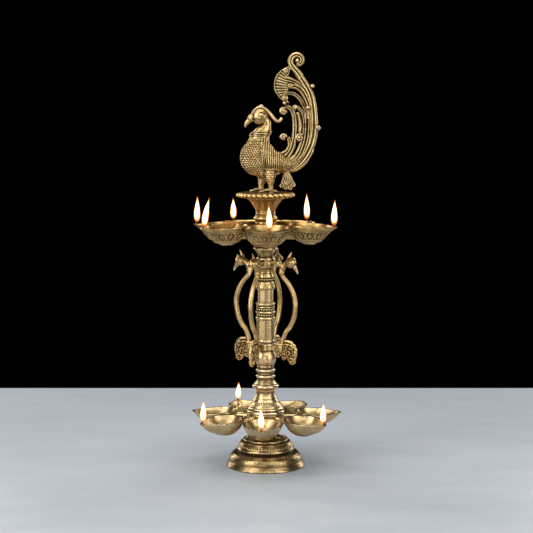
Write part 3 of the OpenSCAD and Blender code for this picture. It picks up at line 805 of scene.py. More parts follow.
def neck(shape, tier, azimuth):
    """The bar from a cup's back to its hub, ending inside the cup's wall."""
    t = np.arange(28) * TAU / 28
    flat = tier["neck"] / 2
    x = flat * np.sign(np.cos(t)) * np.abs(np.cos(t))**0.55
    z = -7 + 4 * np.sign(np.sin(t)) * np.abs(np.sin(t))**0.6
    start = tier["at"] - tier["hub_r"] + 0.6
    ball_r = math.hypot(tier["r"], tier["up"]) - CUP_WALL / 2
    end = np.sqrt(ball_r**2 - (z - tier["up"] - 0.8)**2 - x**2)
    rings = []
    for s in np.linspace(0, 1, 14):
        swell = 1 + 0.16 * (2 * s - 1)**4
        y = start + (end - start) * s
        rings.append(np.stack([x * swell, y, -7 + (z + 7) * swell], -1))
    points, quads, tris = tube(np.array(rings))
    shape.add(placed(points, tier, azimuth), quads, tris)


def wick_line(tier, s):
    """Points of the straight line that a wick lies on, in its cup's frame; s is 0 at the spout's tip."""
    tip = tier["reach"] - tier["at"]
    rise = math.radians(WICK_RISE)
    return np.stack([0 * s, -tip - s * math.cos(rise), 0.9 + s * math.sin(rise)], -1)


# Where on its line the straight part of a wick ends
WICK_END = -4.2


def make_wick(name, k):
    """Two plies of cotton twisted together, with a burnt end that stands up in the flame."""
    tier = CUPS[name]
    s = np.linspace(-28.5, WICK_END, 70)
    line = wick_line(tier, s)
    line[:, 0] += 0.5 * np.sin(s * 0.5 + k) * np.clip((-6 - s) / 10, 0, 1)
    rise = np.linspace(0, 1, 18)[1:, None]
    stub = line[-1] + rise * np.array([0.7 * math.sin(k * 2.1), 1.1, 0]) + rise**0.8 * np.array([0, 0, 7.0])
    path = np.vstack([line, stub])
    along = np.gradient(path, axis=0)
    along /= np.linalg.norm(along, axis=1)[:, None]
    u = np.array([1.0, 0, 0])
    v = np.cross(along, u)
    share = np.linspace(0, 1, len(path))
    size = 1.35 * np.interp(share, [0, 0.06, 0.5, 0.82, 1], [0.35, 0.95, 1, 0.78, 0.45])
    t = (np.arange(20) * TAU / 20)[None]
    turn = np.cumsum(np.r_[0, np.linalg.norm(np.diff(path, axis=0), axis=1)])[:, None] * 0.95
    r = size[:, None] * (0.86 + 0.16 * np.cos(2 * (t - turn)))
    rings = path[:, None] + (r * np.cos(t))[..., None] * u + (r * np.sin(t))[..., None] * v[:, None]
    made = tube(rings)
    mark = np.r_[np.repeat(share, 20), 0, 1]
    shape = Shape().add(placed(made[0], tier, tier["azimuths"][k]), made[1], made[2], mark)
    node = f"{name}_wick_{k + 1}"
    piece(f"wick_{name}_{k + 1}", shape, node, cotton, node, marked=True)


def make_flame(name, k):
    """A bright core inside a thin veil, over the burnt end of a wick."""
    tier = CUPS[name]
    azimuth = tier["azimuths"][k]
    tip = placed(wick_line(tier, np.array([WICK_END])), tier, azimuth)[0]
    inward = turned(np.array([[0, 1.0, 0]]), azimuth)[0]
    base = tip + inward * 1.5 + np.array([0, 0, 3.2])
    wave = np.array([math.sin(2.4 * k + len(name)), math.cos(1.7 * k)]) * 0.9
    lean = np.array([wave[0] + tier["leans"].get(k, 0), wave[1], 0])
    height = tier["flames"][tier["lit"].index(k + 1)]
    t = np.linspace(0.002, 0.998, 44)
    girth = t**0.46 * (1 - t)**1.2
    phi = np.arange(28) * TAU / 28
    outward = np.stack([np.cos(phi), np.sin(phi), 0 * phi], -1)
    for part, material, low, high, wide in (("veil", flame_veil, 0, 1, 8.4),
                                            ("core", flame_core, 0.06, 0.92, 6.2)):
        share = high - low
        centre = (base + np.outer(low * height + t * height * share, (0, 0, 1))
                  + np.outer(t**1.6, lean * share))
        rings = centre[:, None] + (girth * wide / 2 / girth.max())[:, None, None] * outward
        mark = np.r_[np.repeat(t, len(phi)), 0, 1]
        shape = Shape().add(*tube(rings), mark)
        piece(f"flame_{part}_{name}_{k + 1}", shape, f"{name}_wick_{k + 1}", material, marked=True, sharp=0)


def make_cups():
    for name, tier in CUPS.items():
        for k in range(len(tier["azimuths"])):
            piece(f"cup_{name}_{k + 1}", cup_shape(name, k), f"{name}_tray", tier["metal"],
                  f"{name}_cup_{k + 1}")
            if k + 1 in tier["lit"]:
                make_wick(name, k)
                make_flame(name, k)


def make_hubs():
    tall, seat = height("lower_hub"), bottom("lower_hub")
    skin = [(13.5, 0), (15.5, 2), (20, 7), (23, 11), (24, 14), (24, tall - 0.6), (23.4, tall)]
    core = [(STUD_HOLE, tall), (STUD_HOLE, 0)]
    piece("lower_hub", Shape().add(*lathe(raised(skin, seat), raised(core, seat), 200, 0.8)), "lower_tray",
          patinated)
    # The upper hub's face stands clear of the seat that it turns on
    tall, seat = height("upper_hub") - HUB_CLEAR, bottom("upper_hub") + HUB_CLEAR
    skin = [(14.5, 0), (17.5, 3), (24, 9.5), (27, 14.5), (27, tall - 2.4), (25.5, tall - 0.6), (22, tall)]
    core = [(ROD_HOLE, tall), (ROD_HOLE, 0)]

    def petals(phi, r, z):
        return 0.5 * np.abs(np.sin(phi * 12)) * bump(z - seat - 6, 6)
    piece("upper_hub", Shape().add(*lathe(raised(skin, seat), raised(core, seat), 240, 0.7, 0.5, petals)),
          "upper_tray", carved)


# ---- Stem ----


def stem_piece(name, skin, relief=None, n=200, step=0.45, material=None, core=None, soft=0.5):
    """A turned section of the stem. Its outlines and its relief(phi, r, z) take heights from its foot."""
    foot = bottom(name)
    core = core or [(ROD_HOLE, skin[-1][1]), (ROD_HOLE, skin[0][1])]
    shape = Shape().add(*lathe(raised(skin, foot), raised(core, foot), n, step, soft,
                               relief and (lambda phi, r, z: relief(phi, r, z - foot))))
    piece(name, shape, "stem", material or patinated)


def make_bell():
    tall = height("stem_bell")
    stud_top, stud_foot = 16.2, 0.8
    rod_foot = 19.6
    skin = ([(17.5, 0), (24.4, 0), (25, 0.8), (25, 2.6), (23.6, 4.2)] + arc((22.2, 6), 1.5, -60, 60, 7)
            + [(21.8, 8.4), (21.2, 10.2), (18.6, 12.8), (16.8, 14.8), (16.0, 17.2), (14.2, 20.6),
               (12.7, 23.8), (12.1, 26.6), (12.4, 28.6), (13.1, tall - 0.8), (13.1, tall)])
    core = [(ROD_HOLE, tall), (ROD_HOLE, rod_foot), (1, rod_foot), (1, stud_top), (STUD_HOLE, stud_top),
            (STUD_HOLE, stud_foot), (17.5, stud_foot)]

    def relief(phi, r, z):
        dots = bead_row(phi, r, z, 14.6, 16.9, 0.95, 1.1, 30)
        lines = sum(bump(z - at, 0.6) for at in (10.8, 19.2))
        return -dots - 0.3 * lines - 0.35 * bump(z - 4.3, 0.6)
    stem_piece("stem_bell", skin, relief, 360, 0.45, polished, core, 1.2)


def make_knop():
    rings = (17.6, 25.6)
    skin = ([(13.2, 0), (15.4, 1.6)] + arc((15.1, 4.6), 2.4, -60, 60, 8)
            + [(14.6, 8.2), (12.2, 11), (11.2, 12.6), (10.8, 14.4)] + arc((10.5, rings[0]), 2, -75, 75, 9)
            + [(10.8, 20.8), (10.8, 22.6)] + arc((10.5, rings[1]), 2, -75, 75, 9)
            + [(10.8, 28.8), (11.2, height("stem_knop"))])

    def relief(phi, r, z):
        ribs = 0.22 * np.abs(np.sin(phi * 16)) * sum(bump(z - at, 2) for at in rings)
        return ribs - 0.3 * (bump(z - 2.2, 0.6) + bump(z - 7.4, 0.6))
    stem_piece("stem_knop", skin, relief, 320, material=polished)


def make_globe():
    skin = [(11.2, 0)] + arc((-2.5, 12), 16.5, -34, 34, 24) + [(11.3, height("stem_globe"))]

    def relief(phi, r, z):
        dents = 0.08 * np.sin(phi * 9 + (z + bottom("stem_globe")) * 0.4)
        return dents - 0.25 * (bump(z - 2.4, 0.6) + bump(z - 21.4, 0.6))
    stem_piece("stem_globe", skin, relief, 220, material=polished)


def make_spider(name, hub_r, arm_end, bite, arm_w):
    """A four-armed plate with hollow edges between its arms, its rims rounded."""
    low, high = bottom(name), top(name)
    away = (2 * bite + arm_w) / math.sqrt(2)
    phi = np.arange(360) * TAU / 360
    from_gap = (phi - math.radians(BRACKET_AT + 45)) % (math.pi / 2)
    from_gap = np.minimum(from_gap, math.pi / 2 - from_gap)
    inside = bite**2 - (away * np.sin(from_gap))**2
    hollow_r = away * np.cos(from_gap) - np.sqrt(np.maximum(inside, 0))
    r = np.where(inside > 0, np.minimum(hollow_r, arm_end), arm_end)
    for _ in range(3):
        r = (np.roll(r, 1) + 2 * r + np.roll(r, -1)) / 4
    r = np.maximum(r, hub_r)
    soft = 1.1 if high - low > 4 else 0.8
    outline = [(r - soft * 0.3, low), (r, low + soft * 0.3), (r, low + soft), (r, (low + high) / 2),
               (r, high - soft), (r, high - soft * 0.3), (r - soft * 0.3, high), (r - soft * 2, high)]
    outline += [(ROD_HOLE + (r - soft * 2 - ROD_HOLE) * s, high) for s in (0.6, 0.3)]
    outline += [(ROD_HOLE, high), (ROD_HOLE, low)]
    rings = np.array([round_axis(ring, phi, z) for ring, z in outline])
    piece(name, Shape().add(*tube(rings, loop=True)), "stem", patinated)


def eight_sided(name, width):
    """A column's eight-sided shaft with softened arrises, bored for the rod."""
    phi = np.arange(320) * TAU / 320
    side = TAU / 8
    half = width / 2
    flat = half / np.cos((phi - math.radians(COLUMN_TURN) - side / 2) % side - side / 2)
    limit = half * 1.062
    r = -np.log(np.exp(-flat * 4) + np.exp(-limit * 4)) / 4
    low, high = bottom(name), top(name)
    shaft = [round_axis(r, phi, z) for z in np.linspace(low, high, 40)]
    bore = [round_axis(ROD_HOLE, phi, z) for z in (high, low)]
    return tube(np.array(shaft + bore), loop=True)


def make_columns():
    low, high = bottom("lower_column"), top("lower_column")
    shape = Shape().add(*eight_sided("lower_column", 22.4))
    foot = [(13.4, low), (13.4, low + 1.4), (11.8, low + 3.4), (12.2, low + 5.6), (11.4, low + 7)]
    head = [(11.2, high - 1.6), (12, high - 1.2), (12, high - 0.3), (11.4, high)]
    for ring in (foot, head):
        shape.add(*lathe(ring, [(8, ring[-1][1]), (8, ring[0][1])], 200, 0.5))
    piece("lower_column", shape, "stem", polished)
    piece("upper_column", Shape().add(*eight_sided("upper_column", 19)), "stem", polished)


def make_collars():
    skin = [(11.6, 0), (12.7, 1.2), (12.9, 2.6), (12.3, 4), (10.7, 4.8), (10.7, 8.6), (12.7, 9.2), (13, 10.4),
            (12.5, 11.6), (10.7, 12.2), (10.7, 15.8), (12.2, 16.8), (11.4, 18.2), (12.2, 19.8), (12.6, 21.2),
            (12, 22.6), (11, height("beaded_collar"))]

    def beads(phi, r, z):
        return (bead_row(phi, r, z, 6.7, 10.7, 1.5, 1.2) + bead_row(phi, r, z, 14, 10.7, 1.5, 1.2)
                + 0.2 * np.abs(np.sin(phi * 18)) * bump(z - 21.4, 1.6))
    stem_piece("beaded_collar", skin, beads, 260, 0.35, soft=0.35)

    skin = [(11.2, 0), (12.4, 1.2), (12.6, 3.2), (12, 5), (10.6, 10), (9.1, 11.2), (9.1, 15.2), (10.4, 16.2),
            (10, 18.6), (8.9, 21), (8.5, 24), (8.9, 27.4), (10.2, 29.4), (10.8, 32),
            (10.8, height("upper_collar"))]

    def petals(phi, r, z):
        return (bead_row(phi, r, z, 13.2, 9.1, 1.4, 1.1) + 0.3 * np.abs(np.sin(phi * 9)) * bump(z - 6.6, 4.4)
                + 0.2 * np.abs(np.sin(phi * 14)) * bump(z - 1.8, 1.8))
    stem_piece("upper_collar", skin, petals, 260, 0.4)

    skin = [(11, 0), (11.8, 1.4), (11.8, 4), (10.6, 5.4), (10.4, 7.4), (11.4, 10.4), (13.6, 13.4), (15.4, 15),
            (15.4, 17.4), (14.5, height("tray_seat"))]

    def ribs(phi, r, z):
        return 0.25 * np.abs(np.sin(phi * 15)) * bump(z - 16.2, 1.8) + 0.3 * bump(z - 2.6, 1.0)
    stem_piece("tray_seat", skin, ribs, 240, 0.45)


# ---- Bird brackets ----

def make_bracket(k):
    """A bent rod in a plane through the axis, with a bird's head above and a leaf below.
    Points are (radius, height)."""
    low, high = bottom("lower_column"), top("upper_collar")
    middle = (low + high) / 2 - 1.5
    rod_c, rod_r, bend, neck_r = np.array([-5.5, middle]), 48.5, 48, 12
    neck_c = rod_c + (rod_r + neck_r) * np.array([math.cos(math.radians(bend)), math.sin(math.radians(bend))])
    head = neck_c + np.array([1, neck_r + 0.4])
    foot = (24.4, low + 1)
    path = ([foot, (25.2, low + 8)] + arc(rod_c, rod_r, -bend + 4, bend - 2, 14)
            + arc(neck_c, neck_r, 220, 112, 8) + [tuple(head + np.array([-1, 0.2]))])
    path = resampled(spline(path, 5), 0.9)
    share = np.linspace(0, 1, len(path))
    size = np.interp(share, [0, 0.1, 0.45, 0.74, 0.82, 0.93, 1], [6.6, 5.6, 6.5, 5.4, 5.6, 7.2, 8.6])
    shape = Shape()
    shape.add(*tube(planar_sweep(path, size, size * 0.94, round_section, 28)))

    def at(x, z, y=0.0):
        return (head[0] + x, y, head[1] + z)
    shape.add(*ball(at(0.4, -0.4), (7.2, 6.0, 6.6)))
    shape.add(*bar([at(3.4, -3), at(7, -7.6), at(10.2, -13.2)], [3.2, 1.9, 1.3], flat=0.9))
    shape.add(*bar([at(-2.4, 3.6), at(-1.2, 8), at(1.6, 13.4)], [3.4, 2.2, 0.5], flat=0.7))
    shape.add(*bar([at(1.8, 4.6), at(4.4, 5.8), at(6.4, 4.6)], [1.2, 1.3, 0.6], flat=0.9))
    for y in (-1, 1):
        shape.add(*ball(at(2, 0.6, 5.0 * y), (2.7, 1.4, 2.7), 12))
        shape.add(*ball(at(2, 0.6, 6.2 * y), (1.2, 1.1, 1.2), 10))
    # Collar rings round the neck and at the root of the beak
    rings = [(neck_c + neck_r * np.array([math.cos(math.radians(a)), math.sin(math.radians(a))]), a, w)
             for a, w in ((172, 7.6), (184, 7.8), (148, 8.4))]
    rings.append((head + np.array([5.6, -5.6]), 34, 5.6))
    for centre, a, width in rings:
        along = 0.7 * np.array([-math.sin(math.radians(a)), math.cos(math.radians(a))])
        ring = planar_sweep(np.array([centre - along, centre + along]), width, width * 0.95,
                            round_section, 28)
        shape.add(*tube(ring))
    # The leaf: three crumpled blades, each (points, widths, thickness), with curls over them
    for points, widths, thick in (
            ([(24.4, -3), (29, 3), (34.6, 2), (38.8, -3), (40.4, -9), (39.4, -13)],
             [5, 8, 9.5, 10.5, 10, 8], 4.6),
            ([(28, -3), (33, -7), (37, -13), (38.8, -19)], [9, 12, 12.5, 9.5], 4.2),
            ([(26, -2), (28.4, -7), (28.6, -12), (26.4, -15.6)], [8, 9, 8, 6], 4.4)):
        line = resampled(spline([(x, low + z) for x, z in points], 10), 0.6)
        s = np.linspace(0, 1, len(line))
        wide = np.interp(s, np.linspace(0, 1, len(widths)), widths)
        lobes = 1 + 0.2 * np.abs(np.sin(s * len(line) * 0.6 / 5.2 * math.pi))
        shape.add(*tube(planar_sweep(line, wide * lobes, thick, plume_section(3, 0.5), 40)))
    for x, z, r, a0 in ((30.4, 0.2, 4.6, 200), (37.4, -1.6, 4.4, 120), (41, -9, 3.8, 60),
                        (34.6, -9, 5.0, 250), (38.6, -18.4, 4.6, 160), (27.8, -11.6, 4.2, 300)):
        curl = spiral((x, low + z), r * 0.8, r * 0.2, a0, a0 - 330, 26)
        shape.add(*tube(planar_sweep(curl, r * 0.5, np.linspace(6.2, 8.2, len(curl)), round_section, 14)))
    points, quads, tris = fused(shape, 0.42, 2)
    # Lugs that take the rivets
    done = Shape().add(points, quads, tris)
    for z, inner, outer in ((low + 1.5, 15, 26), (high - 1.5, 15.2, 25.8)):
        line = np.array([[inner, z], [outer, z]])
        done.add(*tube(planar_sweep(resampled(line, 1), 3, 6.6, squared_section, 24, ends=(False, False))))
    points, quads, tris, _ = done.arrays()
    # From (radius, side, height) to the front radius, then round to its place
    points = np.stack([points[:, 1], -points[:, 0], points[:, 2]], -1)
    points = turned(points, BRACKET_AT + 90 * k)
    piece(f"bracket_{k + 1}", Shape().add(points, quads, tris), "stem", carved)


def squared_section(t, s):
    power = 0.35
    return (np.sign(np.cos(t)) * np.abs(np.cos(t))**power + 0 * s,
            np.sign(np.sin(t)) * np.abs(np.sin(t))**power + 0 * s)


def spiral(centre, r0, r1, a0, a1, n):
    a = np.radians(np.linspace(a0, a1, n))
    r = np.linspace(r0, r1, n)
    return np.stack([centre[0] + r * np.cos(a), centre[1] + r * np.sin(a)], -1)


def make_rivets():
    for name in ("lower_rivets", "upper_rivets"):
        low, high = bottom(name), top(name)
        head = [(0.2, 0), (1.2, 0.15), (2.1, 0.8), (2.3, 1.5), (1.5, 1.5)]
        skin = raised(head, low) + [(r, high - z) for r, z in head[::-1]]
        points, quads, tris = lathe(skin, (), 24, 0.5, 0.2)
        shape = Shape()
        for k in range(4):
            shape.add(turned(points - np.array([0, RIVET_AT, 0]), BRACKET_AT + 90 * k), quads, tris)
        piece(name, shape, "stem", polished)


# ---- Finial ----

def make_pedestal():
    foot, tall = bottom("pedestal"), height("pedestal")
    washer_seat, rod_top, screw_foot = 0.8, 341 - foot, tall - 6
    skin = [(11, 0), (13, 0), (13.4, 1.8), (13, 5.2), (14.2, 6.8), (15.2, 8.4), (14.4, 10.2), (12.8, 12.4),
            (12.4, 15.8), (13.3, 19.8), (15.4, 24.4), (18.4, 28.8), (21.6, 32.2), (24.5, 33.8), (24.5, tall)]
    core = [(5, tall), (5, screw_foot), (1, screw_foot), (1, rod_top), (ROD_HOLE, rod_top),
            (ROD_HOLE, washer_seat), (11, washer_seat)]

    def relief(phi, r, z):
        z = z - foot
        flutes = 0.25 * np.abs(np.sin(phi * 7)) * bump(z - 25, 11)
        beads = 0.25 * np.abs(np.sin(phi * 18)) * bump(z - 8.4, 2)
        return flutes + beads - 0.3 * (bump(z - 13.4, 0.6) + bump(z - 18.4, 0.6))
    shape = Shape().add(*lathe(raised(skin, foot), raised(core, foot), 300, 0.55, 1.2, relief))
    piece("pedestal", shape, "finial", carved)


def make_plate():
    low, high = bottom("finial_plate"), top("finial_plate")
    r = span("finial_plate")[1][0] - 0.1
    lobes = 30
    mid = (low + high) / 2
    skin = [(2.55, low), (r - 8, low), (r - 5, low + 0.5), (r - 1.2, mid - 1.8), (r - 0.2, mid),
            (r - 0.8, mid + 1.7),
            (r - 3, high - 0.4), (r - 5.4, high), (2.55, high)]

    def relief(phi, rr, z):
        edge = np.clip((rr - (r - 8)) / 7, 0, 1)
        # Each lobe leans over like the strand of a rope
        lobe = np.abs(np.cos(phi * lobes / 2 + (z - mid) * 0.12))
        petal = -2.3 * (1 - lobe**0.7) * edge
        return petal - 0.35 * bump(rr - (r - 8.5), 0.8)
    shape = Shape().add(*lathe(skin, [(2.55, mid)], 720, 0.6, 0.5, relief))
    piece("finial_plate", shape, "finial", carved)


def peacock_form():
    """The peacock's body, neck and head as one smooth form, before its feathers."""
    form = Shape()
    form.add(*ball((-9.4, 0, 404), (23.4, 18, 24), 40))
    form.add(*ball((8, 0, 397), (19, 16.6, 16.5), 36))
    form.add(*ball((22, 0, 395), (12, 11, 11), 30))
    form.add(*bar([(-9, 0, 416), (-8.3, 0, 426), (-5, 0, 433.5), (-0.6, 0, 440), (1.2, 0, 445),
                   (0.2, 0, 450.5)],
                  [17, 13.2, 11.4, 8.2, 6.2, 6.2], 48, 0.9))
    form.add(*ball((-6.8, 0, 456.4), (11, 8.8, 10.6), 36))
    form.add(*ball((6, 0, 388), (9, 13, 12), 24))
    form.add(*ball((-4, 0, 386), (8, 12.5, 9), 24))
    points, quads, tris = fused(form, 0.8, 14)
    return Shape().add(points, quads, tris)


def scales(u, v, amount):
    """Overlapping rounded scales, one to a unit across u and down v, each standing proud at its free end."""
    height = np.zeros_like(u)
    for step in (1, 0, -1, -2):
        row = np.floor(v) + step
        shift = np.where(row % 2 == 0, 0.0, 0.5)
        a = (u - shift + 0.5) % 1 - 0.5
        b = v - row
        far = np.hypot(a * 1.12, b * 0.86)
        inside = (far < 0.82) & (b > -0.25)
        height = np.where(inside, 0.35 + 0.65 * np.clip(far / 0.82, 0, 1)**2 - 0.12 * bump(a, 0.14), height)
    return amount * height


def make_peacock_body():
    form = peacock_form()
    for side, hip, foot in ((-1, 6.5, 7), (1, -5, -6)):
        y = 9 * side
        form.add(*bar([(hip, y * 0.45, 394), (hip * 0.95, y * 0.8, 386), (hip * 0.9 + 0.6, y, 378),
                       (foot, y, 369)],
                      [9.6, 8.6, 6.2, 3.5], 28))
        form.add(*bar([(foot, y, 370), (foot, y, 364), (foot - 0.5, y, 361)], [3.4, 2.9, 2.7], 20))
        for spread in (-24, 0, 24):
            a = math.radians(spread)
            tip = np.array([foot - 14 * math.cos(a), y + 14 * math.sin(a) * 0.8, 360.2])
            start = np.array([foot, y, 362.4])
            form.add(*bar([start, (start + tip) / 2 + np.array([0, 0, 0.8]), tip], [2.2, 1.9, 1.0], 14))
        form.add(*bar([(foot, y, 362), (foot + 4, y, 361.4), (foot + 8, y, 360.2)], [2.4, 2, 1], 14))
        form.add(*ball((foot, y, 359.6), (4.4, 4, 1.2), 14))
    # Bill and the ring at its root
    form.add(*bar([(-15.6, 0, 455), (-20.4, 0, 451.8), (-24.2, 0, 447.6), (-26, 0, 443.6)],
                  [4.2, 3.2, 2.6, 1.5], 24,
                  0.85))
    form.add(*tube(planar_sweep(np.array([(-17.0, 455.4), (-17.9, 454.7)]), 10.0, 9.0, round_section, 28)))
    # Crest: a ribbon from the bill over the head, which curls up behind the neck
    form.add(*bar([(-17.6, 0, 459.8), (-13.6, 0, 465), (-7.8, 0, 468), (-1, 0, 466), (5.2, 0, 460.2),
                   (10.4, 0, 454), (15, 0, 450.6), (18.8, 0, 451.2), (20, 0, 454.2)],
                  [1.3, 1.7, 2.1, 2.3, 2.4, 2.2, 2.1, 2.0, 1.6], 24, 1.3))
    form.add(*bar([(-9, 0, 468.6), (-5.6, 0, 470.4), (-3.6, 0, 470.6)], [1.4, 1.4, 0.8], 14))
    for y in (-1, 1):
        form.add(*ball((-4.8, 8.3 * y, 458.4), (2.9, 0.9, 2.1), 16))
        form.add(*ball((-5.0, 9.0 * y, 458.4), (1.3, 0.8, 1.2), 14))
        form.add(*bar([(-10, 7.3 * y, 461.2), (-5.2, 8.0 * y, 462.6), (-0.2, 7.6 * y, 460.4)],
                      [0.4, 0.7, 0.4], 12))
    points, quads, tris = fused(form, 0.5, 1)
    points = points + feathering(points)[:, None] * normals(points, quads, tris)
    piece("peacock_body", Shape().add(points, quads, tris), "finial", patinated)


def feathering(p):
    """How far the peacock's plumage stands out at each point."""
    x, y, z = p.T
    cx, cz = -9.4, 404.0
    across = np.arctan2(y, -(x - cx))
    away = np.linalg.norm(p - np.array([cx, 0, cz]), axis=1)
    down = np.arccos(np.clip((z - cz) / np.maximum(away, 1e-6), -1, 1))
    breast_edge = -4.6 + 0.0035 * (z - 415)**2
    on_breast = (x < breast_edge) & (z < 429) & (z > 380)
    ring_r = np.maximum(np.hypot(x - cx, y), 5.0)
    flat = scales(across * 32 / TAU, down * 24 / 3.3, 1.4)
    breast = np.where(on_breast, (flat - 0.9) * np.clip((ring_r - 8) / 4, 0, 1), 0)
    border = 0.7 * bump(x - breast_edge, 1.4) * ((z < 430) & (z > 381))
    foot_of_wing = 389.5 - 0.05 * x
    on_wing = (x > breast_edge + 1.2) & (z < 429) & (z > foot_of_wing) & (x < 34)
    sweep = (x - breast_edge) + 0.02 * (x + 6) * (412 - z) / 4
    barbs = 0.5 + 0.5 * np.cos(sweep * TAU / 2.7)
    row_edge = bump(z + 0.35 * (x - 10) - 402, 1.2) * (x > 2)
    wing = np.where(on_wing, 0.9 * barbs + 0.5 * row_edge - 0.5, 0)
    wing_edge = 0.6 * bump(z - foot_of_wing, 1.4) * ((x > breast_edge) & (x < 26))
    on_leg = (z <= foot_of_wing) & (z > 370) & (x > -14) & (x < 18)
    thigh = (np.where(on_leg, scales(x / 3.0 + 0.5, (390 - z) / 2.8, 0.9) - 0.5, 0)
             * np.clip((390 - z) / 3, 0, 1))
    shank = 0.15 * np.cos((z - 360) * TAU / 2.0) * ((z <= 370) & (z > 362))
    # Collar: a flat band round the neck with two turned lines
    over = z - 0.08 * (x + 4.2) - 434.6
    collar = 1.5 * np.clip((2.6 - np.abs(over)) / 0.3, 0, 1) - 1.3 * bump(np.abs(over) - 1.0, 0.7)
    return breast + border + wing + wing_edge + thigh + shank + collar * (np.hypot(x + 4.2, y) < 20)


# Each plume is its line in (x, z), its widths and its number of ridges
PLUMES = [
    ([(24, 388.6), (34, 390.5), (45.1, 398.4), (54.4, 411.3), (59.6, 424), (62.2, 438.7), (62.4, 453.3),
      (61.2, 468),
      (58.8, 480.8), (54, 491.8), (48, 501.4), (42.6, 509.4)], (10, 11, 9.8, 8.8, 8.4), 2),
    ([(28, 390), (38, 395), (48.4, 407), (54.4, 422), (56.6, 436), (57, 450), (56.4, 460), (55.2, 465)],
     (9, 6.4, 5.4, 4.6), 2),
    ([(24, 394), (35, 400.4), (43, 411), (47.6, 424), (50, 438), (50.2, 450), (47.4, 461.5), (42, 467.6)],
     (9, 7, 5.2, 4.8), 2),
    ([(16, 400), (27, 405), (33.4, 414.6), (36.2, 425), (37.6, 436), (37.8, 447), (36.4, 458), (32.6, 466),
      (27.6, 468.8)], (10, 8, 6.2, 5.8, 5.2), 2),
    ([(44, 434), (44.6, 444.2), (43.6, 453), (41.6, 460.4)], (4, 4.6, 4.4), 1),
    ([(31.6, 495.2), (39.6, 494.2), (46.6, 489), (52.2, 479.6), (55.6, 470), (57.4, 461)],
     (6.4, 7.6, 7.6, 6.4), 2),
    ([(26.6, 486.2), (35.8, 485.6), (43.3, 480), (48.2, 472.4), (51.4, 464), (53, 455)], (4.4, 5, 5), 2),
    ([(26, 504), (33, 502.2), (41, 498.6), (48, 493.4), (54, 485)], (8, 6, 5.6, 6), 2),
    ([(13, 405), (21.4, 407.4), (28.4, 412.4), (31.4, 420), (30, 428)], (8, 7, 5.4, 4.6), 2),
    ([(20, 386.4), (38, 388.4), (50, 396), (58, 406), (61.2, 414)], (5, 4.6, 3), 1),
    ([(16, 392), (30, 396), (40, 404)], (12, 9), 3),
]
# Each curl is its centre in (x, z), its outer radius, where it starts, how far it turns and its width
CURLS = [
    ((22.9, 463.4), 5.8, 70, 460, 3.8), ((44.2, 429.5), 6.6, 60, 500, 4.0),
    ((22.8, 430.4), 5.2, 10, 420, 3.8),
    ((26.5, 514.4), 4.5, 250, -430, 3.0), ((25, 479.9), 4.5, 110, 430, 3.0),
    ((31.2, 495.4), 4.3, 0, 360, 3.6),
    ((67.4, 441.8), 4.1, 180, -400, 2.8), ((37.8, 467.6), 4.2, 20, 420, 3.2),
    ((55.2, 467.6), 3.4, 200, -380, 2.8),
    ((60.2, 495.0), 3.1, 200, -380, 2.6), ((24.7, 473.6), 2.8, 90, 360, 2.6),
]


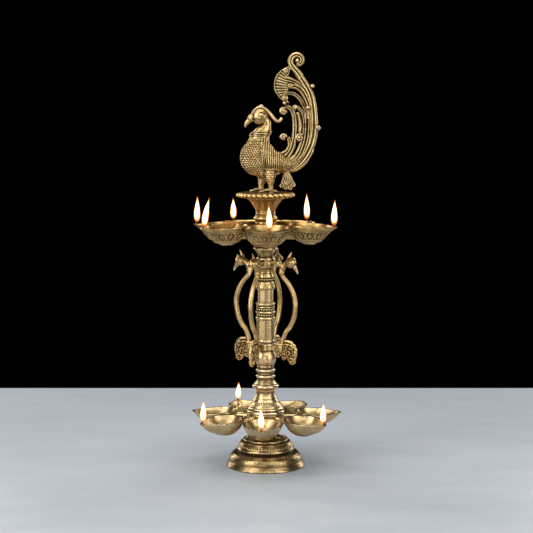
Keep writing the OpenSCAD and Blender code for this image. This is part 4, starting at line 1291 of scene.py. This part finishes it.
def make_peacock_tail():
    shape = Shape()
    for points, widths, ridges in PLUMES:
        line = resampled(spline(points, 10), 0.8)
        thick = np.linspace(7, 6, len(line))
        wide = np.interp(np.linspace(0, 1, len(line)), np.linspace(0, 1, len(widths)), widths)
        shape.add(*tube(planar_sweep(line, wide, thick, plume_section(ridges, 0.55), 44)))
    for centre, r, start, turn, width in CURLS:
        line = spiral(centre, r - width / 2, width * 0.35, start, start + turn, 60)
        shape.add(*tube(planar_sweep(line, np.linspace(width, width * 0.7, 60), np.linspace(8.2, 10, 60),
                                     round_section, 16)))
        shape.add(*ball((centre[0], 0, centre[1]), (r * 0.3, 5.6, r * 0.3), 12))
        shape.add(*ball((centre[0], 0, centre[1]), (r * 0.86, 3.1, r * 0.86), 16))
    # Volute at the top of the main plume, with a bead inside it
    line = resampled(spline([(44.4, 508.4), (38.4, 515.4), (33.4, 521.6), (32.2, 527.4), (34.6, 532.6),
                             (39.6, 534.8),
                             (44.6, 533), (46.8, 528.4), (45.4, 524.2), (42.2, 523)], 10), 0.7)
    shape.add(*tube(planar_sweep(line, np.linspace(8.4, 5.6, len(line)), np.linspace(6.4, 7.8, len(line)),
                                 plume_section(2, 0.4), 40)))
    shape.add(*ball((40.8, 0, 527.6), (3.2, 4.8, 3.2), 14))
    # Fan: a crescent whose flutes spread from its hollow side, with a rim along its outer edge
    a = np.linspace(0, 1, 260)
    turn = np.radians(96 + 158 * a)
    outer = np.stack([36.4 + 25.6 * np.cos(turn), 496.8 + 23.6 * np.sin(turn)], -1)
    inner = resampled(spline([(31, 514), (28.6, 506), (29.6, 499), (29.8, 492), (27.4, 485),
                              (28.2, 477)], 12), 0.1)
    inner = inner[np.linspace(0, len(inner) - 1, 260).astype(int)]
    flutes = 6.2 * (0.62 + 0.38 * np.abs(np.sin(a * 15 * math.pi)))
    t = np.arange(40) * TAU / 40
    x, y = plume_section(1, 0.05)(t[None], a[:, None])
    flat = (outer + inner)[:, None] / 2 + x[..., None] * (outer - inner)[:, None] / 2
    shape.add(*tube(np.stack([flat[..., 0], y * flutes[:, None] / 2, flat[..., 1]], -1)))
    shape.add(*tube(planar_sweep(outer + (inner - outer) * 0.05, 1.8, 7.0, round_section, 14)))
    # Root in the body's slot, and the tassel of leaves under the tail
    shape.add(*tube(planar_sweep(resampled([(14, 396), (30, 396), (38, 401)], 1), 12, 6,
                                 squared_section, 40)))
    shape.add(*bar([(26.6, 0, 388), (27.4, 0, 379), (28.4, 0, 371.6)], [3.6, 5, 7.6], 24, 0.52))
    for x, z, wide in ((21.4, 367, 5.6), (26.4, 364.6, 6), (31.8, 364.8, 6), (36, 368.4, 5.2)):
        line = resampled(spline([(27, 388), ((x + 27.6) / 2, 377), (x, z)], 8), 0.8)
        shape.add(*tube(planar_sweep(line, np.linspace(5, wide, len(line)), np.linspace(7, 8, len(line)),
                                     plume_section(2, 0.35), 28)))
        curl = spiral((x, z), 2.8, 0.6, 90, 450, 24)
        shape.add(*tube(planar_sweep(curl, 1.9, 9.0, round_section, 12)))
        shape.add(*ball((x, 0, z), (2.4, 3.6, 2.4), 12))
    points, quads, tris = fused(shape, 0.42, 1)
    piece("peacock_tail", Shape().add(points, quads, tris), "finial", patinated)


make_foot()
make_cups()
make_hubs()
make_bell()
make_knop()
make_globe()
make_spider("lower_spider", 12.8, 25.6, 13, 7.2)
make_spider("upper_spider", 11, 21.6, 11, 6.8)
make_columns()
make_collars()
for bracket in range(4):
    make_bracket(bracket)
make_rivets()
make_pedestal()
make_plate()
make_peacock_body()
make_peacock_tail()

# The CAD nodes that stay in view are plain turned pieces, mostly hidden
for node in ("base_stud", "stem_washer", "tie_rod", "finial_washer", "plate_screw"):
    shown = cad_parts[node]
    shown.data.materials.clear()
    shown.data.materials.append(polished)
